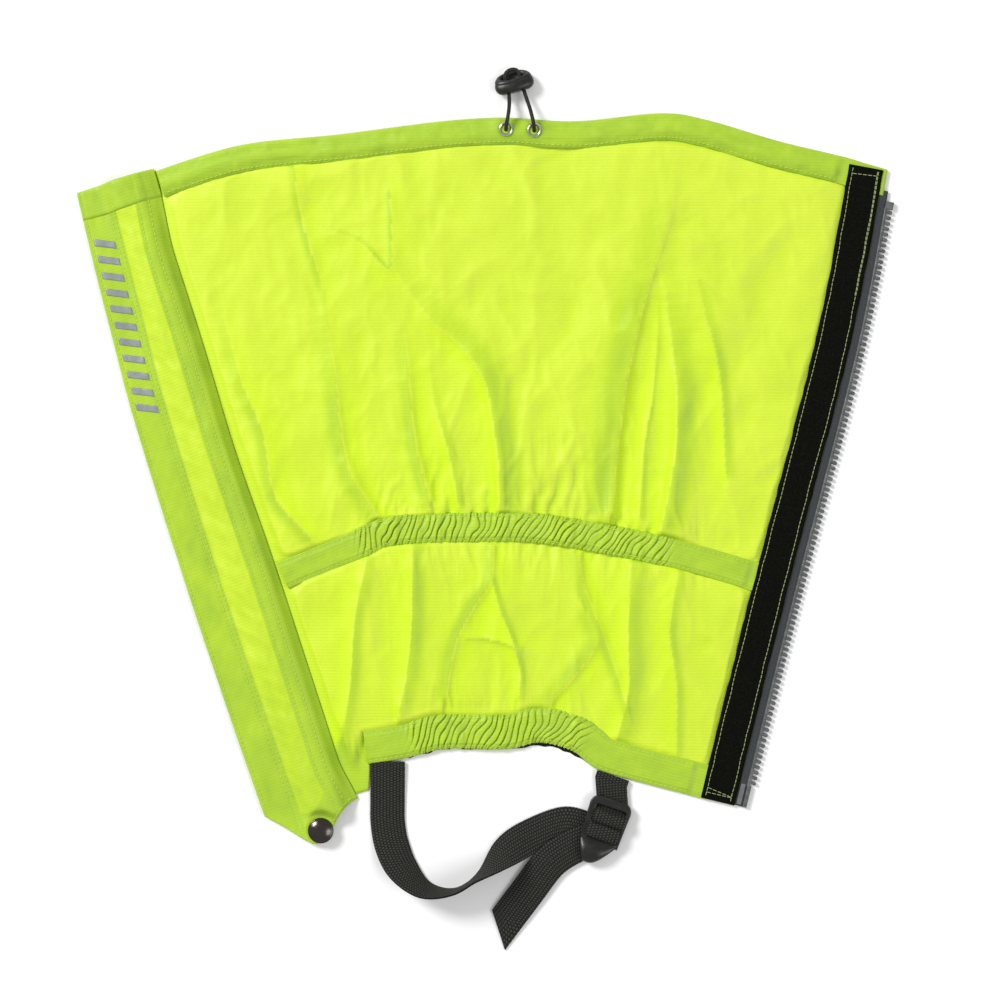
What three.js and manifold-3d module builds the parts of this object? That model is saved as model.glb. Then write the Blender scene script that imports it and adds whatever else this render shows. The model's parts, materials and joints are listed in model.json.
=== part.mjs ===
// A hiking gaiter, laid open and flat with its outer face up.
// Millimetres. +X runs around the leg, +Y up the leg, +Z away from the surface it lies on.
import * as THREE from "three";
import { mergeVertices } from "three/addons/utils/BufferGeometryUtils.js";
import Module from "manifold-3d";

const wasm = await Module();
wasm.setup();

// ---- driving dimensions ----

const GAP = 0.3; // clear space between pieces that touch
const PANEL = 0.9; // height of the shell fabric, its folds pressed flat
const HEM_BASE = PANEL + GAP; // sleeves and tapes are sewn on from here up
const WALL = 0.6; // fabric wall of a sleeve
const TOP_HEM_HEIGHT = 4.4; // room for the drawcord inside

const SEAM_FOOT = new THREE.Vector2(-72.8, -153.7); // lower end of the seam that holds the flap
const SEAM_TOP = new THREE.Vector2(-190.5, 208.8);
const SEAM_ALONG = SEAM_TOP.clone().sub(SEAM_FOOT).normalize();
const SEAM_LENGTH = SEAM_TOP.distanceTo(SEAM_FOOT);
const SEAM_ANGLE = Math.atan2(SEAM_ALONG.y, SEAM_ALONG.x);

const FLAP = { top: 383, width: 54.5, base: 2.9, thickness: 0.9, inset: 1.2 };
const RIDGE = { centre: 17.5, half: 13, height: 7.4 }; // the flap arches over the zip
const SNAP = { along: -11.4, across: 26, radius: 7.5, height: 5 }; // flat round patch of the flap

const TAPE_WIDTH = 20; // hook tape and loop tape
const WEBBING = { width: 20, thickness: 1.2 };
const CORD_RADIUS = 1.1;

const ZIP = { pitch: 3.2, spine: 1.5, tooth: 3.2, thickness: 2.4, tape: 0.6, root: 0.65, head: 0.95 };
const LEFT_ZIP = { tapeStart: 3.2, tapeEnd: 12.6, mid: 2.9, foot: 8.4, top: 366 };
const RIGHT_ZIP = { tapeStart: -10.6, tapeEnd: -14.4, mid: 1.5, foot: 14, top: 356 };
const SLIDER = { along: 8, centre: 18.85, length: 14, plate: 1.1, bottom: 0.2, height: 5.4 };

const EYELETS = { left: [13, 233], right: [29.3, 232.4] };
const LOCK = { x: 17.7, y: 259.8, z: 4.9, tilt: 0.26, length: 23, depth: 9, body: 10, hole: 4.35 };

const BUCKLE = { x: 71.6, y: -165.3, z: 4.4, turn: -0.334, half: 12.1, thickness: 2.8 };

const MIDDLE = { x: 1.192, y: 0.302 }; // middle of the fabric and straps: the origin lies under it

// ---- colours ----

const YELLOW = { color: 0xd6f23c, roughness: 0.6, metalness: 0 };
const OLIVE = { color: 0xa9cc3e, roughness: 0.7, metalness: 0 };
const BLACK_CLOTH = { color: 0x121210, roughness: 0.95, metalness: 0 };
const WEB_GREY = { color: 0x2f2f2d, roughness: 0.9, metalness: 0 };
const TAPE_GREY = { color: 0x46484a, roughness: 0.9, metalness: 0 };
const TEETH_GREY = { color: 0x505356, roughness: 0.45, metalness: 0 };
const BLACK_PLASTIC = { color: 0x141412, roughness: 0.3, metalness: 0 };
const FILM = { color: 0x7a7e80, roughness: 0.2, metalness: 0 };
const NICKEL = { color: 0xb9bbb8, roughness: 0.25, metalness: 1 };
const DARK_NICKEL = { color: 0x3a3634, roughness: 0.2, metalness: 1 };
const REFLECTIVE = { color: 0x969ba0, roughness: 0.4, metalness: 0.4 };

// ---- curves of the open panel ----

const line = (...points) => new THREE.SplineCurve(points.map(([x, y]) => new THREE.Vector2(x, y)));

const TOP_EDGE = line([-190.5, 208.8], [-141, 223.9], [-83, 230.3], [-24, 237.8], [12.5, 239.8],
  [53.7, 237.8], [102.4, 242.4], [129, 238.7], [171.4, 226.2], [209.7, 216.9], [232, 209.4]);
const ANKLE_LINE = line([-117.5, -25.5], [-72.8, -7.3], [-52, 0.8], [0.9, 2.6], [38.6, 1.2],
  [104.1, -11], [156, -25.5]);
const HEM_EDGE = line([-67, -134.6], [-45, -131.1], [-22.9, -125.6], [13.6, -125.6], [32, -121.8],
  [50.8, -126.4], [64.7, -136.9], [86.1, -143.8], [123.8, -153.7], [146, -160]);
const LOOP_LINE = line([135.4, -156.6], [165, -36.5], [202.5, 110], [221.9, 211.7]);

// ---- geometry helpers ----

function pointBeside(curve, distance, offset) {
  const u = THREE.MathUtils.clamp(distance / curve.getLength(), 0, 1);
  const point = curve.getPointAt(u);
  const tangent = curve.getTangentAt(u);
  return new THREE.Vector2(point.x - tangent.y * offset, point.y + tangent.x * offset);
}

function seamPoint(along, across) {
  const x = SEAM_FOOT.x + SEAM_ALONG.x * along - SEAM_ALONG.y * across;
  const y = SEAM_FOOT.y + SEAM_ALONG.y * along + SEAM_ALONG.x * across;
  return new THREE.Vector2(x, y);
}

function plate(outline, bottom, top, holes = []) {
  const shape = new THREE.Shape(outline);
  shape.holes = holes.map((hole) => new THREE.Path(hole));
  const geometry = new THREE.ExtrudeGeometry(shape, { depth: top - bottom, bevelEnabled: false });
  return geometry.translate(0, 0, bottom);
}

function strip(curve, from, to, left, right, steps) {
  const distances = Array.from({ length: steps + 1 }, (_, i) => from + ((to - from) * i) / steps);
  const near = distances.map((distance) => pointBeside(curve, distance, right));
  const far = distances.map((distance) => pointBeside(curve, distance, left));
  return near.concat(far.reverse());
}

function box(x0, x1, y0, y1, z0, z1) {
  const geometry = new THREE.BoxGeometry(x1 - x0, y1 - y0, z1 - z0);
  return geometry.translate((x0 + x1) / 2, (y0 + y1) / 2, (z0 + z1) / 2);
}

function bend(geometry, place) {
  const position = geometry.attributes.position;
  for (let i = 0; i < position.count; i += 1) {
    position.setXYZ(i, ...place(position.getX(i), position.getY(i), position.getZ(i)));
  }
  geometry.computeVertexNormals();
  return geometry;
}

const rectangle = (width, height) => [
  new THREE.Vector2(-width / 2, -height / 2),
  new THREE.Vector2(width / 2, -height / 2),
  new THREE.Vector2(width / 2, height / 2),
  new THREE.Vector2(-width / 2, height / 2),
];

// A flattened fabric tube along a curve, open at both ends.
function sleeve(curve, from, to, offset, width, height, steps) {
  const section = new THREE.Shape(rectangle(width, height));
  section.holes.push(new THREE.Path(rectangle(width - 2 * WALL, height - 2 * WALL)));
  const options = { depth: to - from, steps, bevelEnabled: false };
  return bend(new THREE.ExtrudeGeometry(section, options), (across, up, along) => {
    const point = pointBeside(curve, from + along, offset + across);
    return [point.x, point.y, HEM_BASE + height / 2 + up];
  });
}

function rod(points, radius, steps, sides = 8) {
  const path = new THREE.CatmullRomCurve3(points.map((p) => new THREE.Vector3(...p)), false, "centripetal");
  const corners = Array.from({ length: sides }, (_, i) => {
    const angle = (2 * Math.PI * i) / sides;
    return new THREE.Vector2(radius * Math.cos(angle), radius * Math.sin(angle));
  });
  return new THREE.ExtrudeGeometry(new THREE.Shape(corners), { steps, extrudePath: path });
}

// Webbing along a curve. turn(u) is how far it is rolled about its own length there, and the
// roll lifts its middle, so that its lower edge stays at the height of the curve.
function webbing(points, turn, steps, width = WEBBING.width) {
  const path = new THREE.CatmullRomCurve3(points.map((p) => new THREE.Vector3(...p)), false, "centripetal");
  const up = new THREE.Vector3(0, 0, 1);
  return bend(new THREE.BoxGeometry(1, width, WEBBING.thickness, steps, 1, 1), (x, y, z) => {
    const u = THREE.MathUtils.clamp(x + 0.5, 0, 1);
    const tangent = path.getTangentAt(u);
    const side = new THREE.Vector3().crossVectors(up, tangent).normalize();
    side.applyAxisAngle(tangent, turn(u));
    const face = new THREE.Vector3().crossVectors(tangent, side);
    const point = path.getPointAt(u).addScaledVector(side, y).addScaledVector(face, z);
    point.z += (width / 2) * Math.abs(Math.sin(turn(u)));
    return point.toArray();
  });
}

function lathe(profile, segments) {
  const points = profile.map(([radius, height]) => new THREE.Vector2(radius, height));
  return new THREE.LatheGeometry(points, segments).rotateX(Math.PI / 2);
}

function solid(geometry) {
  const bare = geometry.clone();
  bare.deleteAttribute("normal");
  bare.deleteAttribute("uv");
  const merged = mergeVertices(bare, 1e-3);
  const vertProperties = new Float32Array(merged.attributes.position.array);
  const triVerts = new Uint32Array(merged.index.array);
  return new wasm.Manifold(new wasm.Mesh({ numProp: 3, vertProperties, triVerts }));
}

function surface(manifold) {
  const mesh = manifold.getMesh();
  const geometry = new THREE.BufferGeometry();
  geometry.setAttribute("position", new THREE.BufferAttribute(mesh.vertProperties, 3));
  geometry.setIndex(new THREE.BufferAttribute(mesh.triVerts, 1));
  geometry.computeVertexNormals();
  return geometry;
}

const join = (...geometries) => surface(geometries.map(solid).reduce((a, b) => a.add(b)));
const cut = (geometry, ...tools) => surface(tools.map(solid).reduce((a, b) => a.subtract(b), solid(geometry)));

function piece(name, geometry, look) {
  const mesh = new THREE.Mesh(geometry, new THREE.MeshStandardMaterial(look));
  mesh.name = name;
  return mesh;
}

// ---- shell, hems and casings ----

function bodyPanel() {
  const left = [seamPoint(SEAM_LENGTH, -GAP), seamPoint(0, -GAP), new THREE.Vector2(-67.8, -151.4)];
  const right = [0, 0.25, 0.5, 0.75, 1].map((u) => pointBeside(LOOP_LINE, u * LOOP_LINE.getLength(), -10.3));
  const outline = [...left, ...HEM_EDGE.getPoints(36), ...right, ...TOP_EDGE.getPoints(40).reverse().slice(1, -1)];
  return piece("body_panel", plate(outline, 0, PANEL), YELLOW);
}

function shell() {
  const loopInset = 33; // the sleeves stop where the loop tape starts
  const topLength = TOP_EDGE.getLength();
  const topSleeve = sleeve(TOP_EDGE, 2, topLength - loopInset, -8, 15.4, TOP_HEM_HEIGHT, 32);
  const holes = Object.values(EYELETS).map(([x, y]) => new THREE.CylinderGeometry(2.9, 2.9, 3, 16)
    .rotateX(Math.PI / 2).translate(x, y, HEM_BASE + TOP_HEM_HEIGHT));
  const ankleLength = ANKLE_LINE.getLength() - 2;
  const hemLength = HEM_EDGE.getLength() - 26;
  return [
    bodyPanel(),
    piece("top_hem", cut(topSleeve, ...holes), OLIVE),
    piece("ankle_casing", sleeve(ANKLE_LINE, 9, ankleLength, 0, 16.6, 3.2, 30), OLIVE),
    piece("ankle_elastic", plate(strip(ANKLE_LINE, 44, 232, 6.4, -6.4, 20), 2.2, 3.4), BLACK_CLOTH),
    piece("bottom_hem", sleeve(HEM_EDGE, 1, hemLength, 10.2, 19.6, 3.4, 30), OLIVE),
    piece("hem_elastic", plate(strip(HEM_EDGE, 20, 120, 17.6, 2.8, 16), 2.2, 3.6), BLACK_CLOTH),
    piece("hem_backing_tape", plate(strip(HEM_EDGE, 30, 128, -0.4, -2.6, 16), 0, PANEL), BLACK_CLOTH),
    piece("loop_tape", plate(strip(LOOP_LINE, 0.5, LOOP_LINE.getLength() - 0.5, 10, -10, 12),
      HEM_BASE, HEM_BASE + 1.4), BLACK_CLOTH),
  ];
}

// ---- drawcord, eyelets and cord lock ----

function eyelet(side) {
  const [x, y] = EYELETS[side];
  const top = HEM_BASE + TOP_HEM_HEIGHT;
  const ring = lathe([[2.1, -1.2], [2.5, -1.2], [2.6, 0.3], [4.3, 0.3], [4.1, 0.9], [2.7, 1.1], [2.1, 0.5],
    [2.1, -1.2]], 20).translate(x, y, top);
  const washer = lathe([[2.8, -1.2], [4, -1.2], [4, -0.9], [2.8, -0.9], [2.8, -1.2]], 20).translate(x, y, top);
  return [piece(`eyelet_${side}`, ring, NICKEL), piece(`eyelet_washer_${side}`, washer, NICKEL)];
}

function channelRun(name, from, to) {
  const count = 10;
  const points = Array.from({ length: count + 1 }, (_, i) => {
    const point = pointBeside(TOP_EDGE, from + ((to - from) * i) / count, -9.5);
    return [point.x, point.y, 3.05];
  });
  return piece(name, rod(points, CORD_RADIUS, 20), BLACK_CLOTH);
}

// The free loop: out of the left eyelet, through the lock, round its dished end and back.
const LOOP_ROUTE = [
  [13, 232.4, 4.5], [13.1, 233.4, 6.6], [13.5, 236.2, 8.6], [14.3, 240.6, 8.8], [14.9, 246, 7],
  [14.9, 250.5, 5.4], [14.6, 254.6, 4.9], [13.5, 258.7, 4.9], [12.6, 262.2, 4.9], [13, 265.3, 4.9],
  [15.6, 267.3, 4.9], [18.9, 267.3, 4.9], [20.6, 264.8, 4.9], [21.2, 262.9, 4.9], [21.9, 260.3, 4.9],
  [23.2, 256.2, 4.9], [24.8, 251, 5.4], [26.6, 245.6, 7], [28, 240.2, 8.8], [29, 235.8, 8.6],
  [29.3, 232.8, 6.6], [29.3, 231.8, 4.5],
];

function cordLock() {
  const { length, depth, body, hole } = LOCK;
  const oval = (long, short) => new THREE.EllipseCurve(0, 0, long / 2, short / 2).getPoints(28).slice(0, -1);
  const shellOval = plate(oval(length, depth), -body / 2, body / 2);
  const dish = plate(oval(length - 5, depth - 4), 1, body / 2 + 1);
  const holes = [-hole, hole].map((x) => new THREE.CylinderGeometry(1.6, 1.6, 3 * body, 12)
    .rotateX(Math.PI / 2).translate(x, 0, 0));
  const geometry = cut(shellOval, dish, ...holes).rotateX(-Math.PI / 2);
  const mesh = piece("cord_lock", geometry, BLACK_PLASTIC);
  mesh.position.set(LOCK.x, LOCK.y, LOCK.z);
  mesh.rotation.z = LOCK.tilt;
  return mesh;
}

function drawcord() {
  return [
    ...eyelet("left"),
    ...eyelet("right"),
    channelRun("drawcord_left_run", 4, 203),
    channelRun("drawcord_right_run", 224, 398),
    piece("drawcord_loop", rod(LOOP_ROUTE, CORD_RADIUS, 56), BLACK_CLOTH),
    cordLock(),
  ];
}

// ---- zip ----

// One row of teeth on its spine, laid beside a straight or curved guide.
function toothRow(place, from, to, start, direction) {
  const count = Math.floor((to - from) / ZIP.pitch);
  const back = [];
  const front = [];
  for (let i = 0; i <= count; i += 1) {
    const middle = from + (i + 0.5) * ((to - from) / (count + 1));
    const root = start + direction * ZIP.spine;
    const tip = root + direction * ZIP.tooth;
    back.push(place(middle, start));
    front.push(place(middle - ZIP.root, root), place(middle - ZIP.head, tip));
    front.push(place(middle + ZIP.head, tip), place(middle + ZIP.root, root));
  }
  const ends = [place(from, start), place(to, start)];
  return [ends[0], ...front, ends[1], ...back.reverse()];
}

const anticlockwise = (points) => (THREE.ShapeUtils.isClockWise(points) ? points.reverse() : points);
const besideLoop = (along, across) => pointBeside(LOOP_LINE, along, across);
const quad = (place, a0, a1, b0, b1) => anticlockwise([place(a0, b0), place(a1, b0), place(a1, b1), place(a0, b1)]);

function zipHalf(side, zip, place, outwards, tapeOutline, tapeFoot) {
  const start = zip.tapeEnd + outwards * GAP;
  const low = zip.mid - ZIP.thickness / 2;
  const high = zip.mid + ZIP.thickness / 2;
  const teeth = anticlockwise(toothRow(place, zip.foot, zip.top, start, outwards));
  const stop = quad(place, zip.top + GAP, zip.top + 4.5, start, start + outwards * 4.6);
  const film = quad(place, tapeFoot, tapeFoot + 12, zip.tapeStart + outwards * 0.4, zip.tapeEnd - outwards * 0.8);
  const tapeTop = zip.mid + ZIP.tape / 2;
  return [
    piece(`${side}_zip_tape`, plate(anticlockwise(tapeOutline), zip.mid - ZIP.tape / 2, tapeTop), TAPE_GREY),
    piece(`${side}_zip_teeth`, plate(teeth, low, high), TEETH_GREY),
    piece(`${side}_top_stop`, plate(stop, low - 0.2, high + 0.2), TEETH_GREY),
    piece(`${side}_tape_film`, plate(film, tapeTop + 0.05, tapeTop + 0.25), FILM),
  ];
}

function retainingBox() {
  const body = box(-1, 7.6, 10.8, 23.8, 0.5, 5.2);
  const pinSocket = box(0.2, 9, 19.6, 22.6, 1.7, 4.1);
  const tapeSlot = box(-4, 9, 10, 14.6, 2.3, 3.5);
  return cut(body, pinSocket, tapeSlot);
}

// The slider's two plates, flanges, centre post and the crown that holds the pull tab.
function sliderBody() {
  const { length, plate: skin, height } = SLIDER;
  const outline = [[0, -4.6], [4, -5.4], [9, -6.8], [length, -6.8], [length, 6.8], [9, 6.8], [4, 5.4], [0, 4.6]]
    .map(([x, y]) => new THREE.Vector2(x, y));
  const low = plate(outline, 0, skin);
  const high = plate(outline, height - skin, height);
  const flanges = [-1, 1].flatMap((side) => [
    box(8.9, length, Math.min(side * 6.2, side * 6.8), Math.max(side * 6.2, side * 6.8), 0.5, 2.1),
    box(8.9, length, Math.min(side * 6.2, side * 6.8), Math.max(side * 6.2, side * 6.8), 3.3, height - 0.5),
  ]);
  const post = box(9.6, length - 1, -0.8, 0.8, 0.5, height - 0.5);
  const crown = cut(box(2.4, 10.4, -1, 1, height - 0.2, height + 2.2), box(3.6, 9.2, -2, 2, height, height + 1.3));
  return join(low, high, ...flanges, post, crown);
}

const TAB = { pivot: 4.6, height: 0.65, length: 13, thickness: 0.9 };

function pullTab() {
  const outline = [[-TAB.length, -2.4], [0.5, -2.4], [0.5, 2.4], [-TAB.length, 2.4]];
  const window = [[-3.4, -1.5], [-0.5, -1.5], [-0.5, 1.5], [-3.4, 1.5]];
  const grip = [[-11.6, -1.1], [-7.2, -1.1], [-7.2, 1.1], [-11.6, 1.1]];
  const toShape = (points) => points.map(([x, y]) => new THREE.Vector2(x, y));
  return plate(toShape(outline), -TAB.thickness / 2, TAB.thickness / 2, [toShape(window), toShape(grip)]);
}

function zip() {
  const leftTape = quad(seamPoint, -2, 374, LEFT_ZIP.tapeStart, LEFT_ZIP.tapeEnd);
  const loopLength = LOOP_LINE.getLength();
  const rightTape = strip(LOOP_LINE, 1, loopLength - 12, RIGHT_ZIP.tapeStart, RIGHT_ZIP.tapeEnd, 12);
  const pinStart = RIGHT_ZIP.tapeEnd - GAP;
  const pin = quad(besideLoop, 1, RIGHT_ZIP.foot - GAP, pinStart, pinStart - 2.4);

  const seamFrame = new THREE.Group();
  seamFrame.position.set(SEAM_FOOT.x, SEAM_FOOT.y, 0);
  seamFrame.rotation.z = SEAM_ANGLE;
  const slider = piece("zip_slider", sliderBody(), DARK_NICKEL);
  slider.position.set(SLIDER.along, SLIDER.centre, SLIDER.bottom);
  const tab = piece("pull_tab", pullTab(), DARK_NICKEL);
  tab.position.set(SLIDER.along + TAB.pivot, SLIDER.centre, SLIDER.bottom + SLIDER.height + TAB.height);
  seamFrame.add(piece("retaining_box", retainingBox(), TEETH_GREY), slider, tab);

  return [
    ...zipHalf("left", LEFT_ZIP, seamPoint, 1, leftTape, 0),
    ...zipHalf("right", RIGHT_ZIP, besideLoop, -1, rightTape, 2),
    piece("insertion_pin", plate(pin, 0.4, 2.6), TEETH_GREY),
    seamFrame,
  ];
}

// ---- storm flap ----

const flapWidth = (along) => FLAP.width + 2.2 * Math.sin(Math.PI * THREE.MathUtils.clamp(along / 300, 0, 1))
  - 8 * Math.max(0, (along - 250) / 134) ** 1.5;
const flapFoot = (across) => 7.3 * (across / FLAP.width) ** 6 - 18.5 * Math.exp(-(((across - 29) / 15.5) ** 2));

function flapHeight(along, across) {
  const ridge = RIDGE.height * Math.exp(-(((across - RIDGE.centre) / RIDGE.half) ** 4));
  const overZip = THREE.MathUtils.smoothstep(along, -14, -3);
  const toSnap = Math.hypot(along - SNAP.along, across - SNAP.across);
  const patch = 1 - THREE.MathUtils.smoothstep(toSnap, SNAP.radius + 1.5, SNAP.radius + 5.5);
  return THREE.MathUtils.lerp(FLAP.base + ridge * overZip, SNAP.height, patch);
}

// A layer of the flap between two fractions of its length and of its width.
// crowding above 1 draws the rows together at the foot, where the fabric steps down to the snap.
function flapLayer([a0, a1], [b0, b1], lift, thickness, rows, columns, crowding = 1) {
  return bend(new THREE.BoxGeometry(1, 1, thickness, rows, columns, 1), (x, y, z) => {
    const b = THREE.MathUtils.lerp(b0, b1, y + 0.5);
    const foot = flapFoot(b * FLAP.width);
    const fraction = THREE.MathUtils.lerp(a0, a1, THREE.MathUtils.clamp(x + 0.5, 0, 1) ** crowding);
    const along = THREE.MathUtils.lerp(foot, FLAP.top, fraction);
    const across = FLAP.inset + b * (flapWidth(along) - FLAP.inset);
    const point = seamPoint(along, across);
    return [point.x, point.y, flapHeight(along, across) + lift + z];
  });
}

function snap() {
  const centre = seamPoint(SNAP.along, SNAP.across);
  const cap = lathe([[0, 0.8], [6.6, 0.8], [SNAP.radius, 1.1], [SNAP.radius, 1.6], [6.6, 2.4], [4.4, 3], [2.2, 3.3],
    [0, 3.4]], 28);
  const socket = lathe([[2, -3.8], [5.4, -3.8], [6, -3.2], [6, -0.8], [0, -0.8], [0, -1.8], [2, -1.8],
    [2, -3.8]], 24);
  return [
    piece("snap_cap", cap.translate(centre.x, centre.y, SNAP.height + 0.1), DARK_NICKEL),
    piece("snap_socket", socket.translate(centre.x, centre.y, SNAP.height - 0.1), DARK_NICKEL),
  ];
}

function flap() {
  return [
    piece("storm_flap", flapLayer([0, 1], [0, 1], 0, FLAP.thickness, 28, 14, 1.6), YELLOW),
    piece("flap_edge_facing", flapLayer([0.06, 0.955], [0.645, 0.985], -0.95, 0.4, 18, 6), OLIVE),
    piece("hook_tape", flapLayer([0.07, 0.95], [0.655, 0.975], -2.05, 1.2, 18, 6), BLACK_CLOTH),
    piece("flap_top_hem", flapLayer([0.957, 0.999], [0.01, 0.99], 0.95, 0.4, 2, 16), OLIVE),
    piece("reflective_strip", flapLayer([0.66, 0.93], [0.68, 0.92], 0.85, 0.3, 8, 2), REFLECTIVE),
    ...snap(),
  ];
}

// ---- stirrup strap and ladder-lock buckle ----

const STRAP_ROUTE = [
  [-55.4, -136, 1.6], [-55.6, -155.4, 1], [-55.4, -168.8, 0.8], [-53, -181.6, 0.8], [-46.7, -194.4, 0.9],
  [-33.9, -205.8, 1], [-17.1, -207.1, 1], [-2.6, -198.4, 1], [13.6, -185.4, 0.9], [30.8, -176.6, 0.8],
  [47, -172.6, 0.8], [57, -174, 0.8],
];
const TAIL_ROUTE = [[64.5, -177.8, 2.15], [52, -182.4, 2.15], [38.6, -191.4, 2.15], [25.6, -208.2, 2], [7.6, -236.4, 0.9]];

const strapTurn = (u) => -Math.PI / 2 * THREE.MathUtils.smoothstep(u, 0.2, 0.56)
  * (1 - THREE.MathUtils.smoothstep(u, 0.58, 0.84));

function inBuckleFrame(geometry) {
  return geometry.rotateZ(BUCKLE.turn).translate(BUCKLE.x, BUCKLE.y, 0);
}

// Webbing in the buckle's own frame: bent about its X axis along a route of (y, z) points.
function wrap(route, shift, steps) {
  const path = new THREE.CatmullRomCurve3(route.map(([y, z]) => new THREE.Vector3(0, y, z)), false, "centripetal");
  const width = WEBBING.width - 0.6;
  const geometry = bend(new THREE.BoxGeometry(1, width, WEBBING.thickness, steps, 1, 1), (x, y, z) => {
    const u = THREE.MathUtils.clamp(x + 0.5, 0, 1);
    const tangent = path.getTangentAt(u);
    const point = path.getPointAt(u);
    return [-y + shift(point.y), point.y - tangent.z * z, point.z + tangent.y * z];
  });
  return inBuckleFrame(geometry);
}

function strap() {
  const run = webbing(STRAP_ROUTE, strapTurn, 60);
  const round = wrap([[-7.6, 0.8], [-6.4, 1.4], [-5.5, 4.4], [-6.4, 7.2], [-9.4, 7.9], [-12.3, 7.2], [-13.1, 4.6],
    [-13, 2.6], [-11.6, 2.15], [-8.6, 2.15]], () => 0, 24);
  const tail = webbing(TAIL_ROUTE, () => 0, 20);
  const seam = inBuckleFrame(box(-13.4, 8, -12.4, -8, 0.4, 2.3));
  return piece("stirrup_strap", join(run, round, tail, seam), WEB_GREY);
}

function buckleLoop() {
  const route = [[23, 0.8], [10, 0.8], [2.4, 0.8], [-1.8, 1.6], [-3.5, 4.4], [-2.2, 7.2], [0, 7.9], [2.2, 7.2],
    [3.5, 4.6], [4.8, 2.6], [6.8, 2.1], [10, 2.1], [23, 2.1]];
  const lean = (y) => -4.7 * THREE.MathUtils.clamp((y - 11) / 12, 0, 1);
  return piece("buckle_loop_strap", wrap(route, lean, 44), WEB_GREY);
}

function buckle() {
  const half = BUCKLE.half;
  const corner = 3.5;
  const outline = new THREE.Shape();
  outline.moveTo(half - 1, -16);
  outline.lineTo(half, 10.5 - corner);
  outline.absarc(half - corner, 10.5 - corner, corner, 0, Math.PI / 2);
  outline.absarc(-half + corner, 10.5 - corner, corner, Math.PI / 2, Math.PI);
  outline.lineTo(-half + 1, -16);
  outline.closePath();
  const slot = (low, high) => [[-10.3, low], [10.3, low], [10.3, high], [-10.3, high]]
    .map(([x, y]) => new THREE.Vector2(x, y));
  const thickness = BUCKLE.thickness;
  const frame = plate(outline.getPoints(6), -thickness / 2, thickness / 2,
    [slot(2, 7.4), slot(-7.4, -2), slot(-14.4, -11.4)]);
  const thumb = new THREE.SphereGeometry(1, 24, 12).scale(10.6, 6.6, 2.6).translate(0, -21.4, 1.3);
  const mesh = piece("ladder_buckle", join(frame, thumb), BLACK_PLASTIC);
  mesh.position.set(BUCKLE.x, BUCKLE.y, BUCKLE.z);
  mesh.rotation.z = BUCKLE.turn;
  return mesh;
}

const gaiter = new THREE.Group();
gaiter.position.set(-MIDDLE.x, -MIDDLE.y, 0);
gaiter.add(...shell(), ...drawcord(), ...zip(), ...flap(), strap(), buckleLoop(), buckle());

export default gaiter;
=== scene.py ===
"""The looks of a hiking gaiter that lies open and flat, outer face up.

Shapes are worked out in millimetres in the pattern's own frame. build() turns them into metres and
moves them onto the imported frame. +X runs around the leg, +Y up the leg, +Z away from the floor.
"""
import json
import math

import bpy
import numpy as np
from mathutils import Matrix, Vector


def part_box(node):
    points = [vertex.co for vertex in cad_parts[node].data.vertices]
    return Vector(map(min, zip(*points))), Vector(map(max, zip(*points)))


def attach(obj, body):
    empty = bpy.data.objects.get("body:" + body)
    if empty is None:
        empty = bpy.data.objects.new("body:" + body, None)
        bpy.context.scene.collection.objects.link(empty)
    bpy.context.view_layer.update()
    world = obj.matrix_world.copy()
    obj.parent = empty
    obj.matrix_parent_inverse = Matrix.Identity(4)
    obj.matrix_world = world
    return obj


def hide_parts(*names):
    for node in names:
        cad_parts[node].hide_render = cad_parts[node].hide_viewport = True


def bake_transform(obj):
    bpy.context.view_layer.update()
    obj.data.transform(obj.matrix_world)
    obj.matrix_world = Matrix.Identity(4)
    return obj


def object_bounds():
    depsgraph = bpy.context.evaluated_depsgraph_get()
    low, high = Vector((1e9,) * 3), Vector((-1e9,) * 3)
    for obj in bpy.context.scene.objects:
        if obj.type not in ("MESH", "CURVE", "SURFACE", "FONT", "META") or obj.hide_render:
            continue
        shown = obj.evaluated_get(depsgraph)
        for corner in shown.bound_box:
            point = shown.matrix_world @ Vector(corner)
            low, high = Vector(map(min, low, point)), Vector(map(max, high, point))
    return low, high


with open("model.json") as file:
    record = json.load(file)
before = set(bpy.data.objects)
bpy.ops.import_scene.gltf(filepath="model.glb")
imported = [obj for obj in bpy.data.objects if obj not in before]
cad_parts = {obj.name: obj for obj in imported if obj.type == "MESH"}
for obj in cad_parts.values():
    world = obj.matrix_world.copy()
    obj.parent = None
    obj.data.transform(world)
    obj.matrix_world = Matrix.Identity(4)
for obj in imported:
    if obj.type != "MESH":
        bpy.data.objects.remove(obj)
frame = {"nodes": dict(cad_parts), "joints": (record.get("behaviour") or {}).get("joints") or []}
CAD_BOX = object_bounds()

MM = 0.001
EYELETS = {"left": (13.0, 233.0), "right": (29.3, 232.4)}  # in the pattern's frame


def centre(node):
    low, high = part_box(node)
    return np.array((low + high) / 2) / MM


# What the pattern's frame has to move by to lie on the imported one.
SHIFT = np.append(centre("eyelet_left")[:2] - np.array(EYELETS["left"]), 0.0)
HINGE = next(joint for joint in frame["joints"] if joint["name"] == "flap_hinge")
SEAM_FOOT = np.array(HINGE["pos_m"][:2]) / MM - SHIFT[:2]
SEAM_ALONG = np.array(HINGE["axis"][:2])
SEAM_LEFT = np.array([-SEAM_ALONG[1], SEAM_ALONG[0]])
SEAM_LENGTH = 381.1

CLOTH = 0.45  # thickness of one layer of the shell
CLOTH_LOWEST = 0.5  # the shell's upper face is never nearer the floor
HEM_FLOOR = 0.95  # the sleeves lie on the shell from here up
RANDOM = np.random.default_rng(11).uniform(-1, 1, (256, 256))


# ---- numbers and curves ----

def smoothstep(x, low, high):
    t = np.clip((np.asarray(x, float) - low) / (high - low), 0, 1)
    return t * t * (3 - 2 * t)


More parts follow.
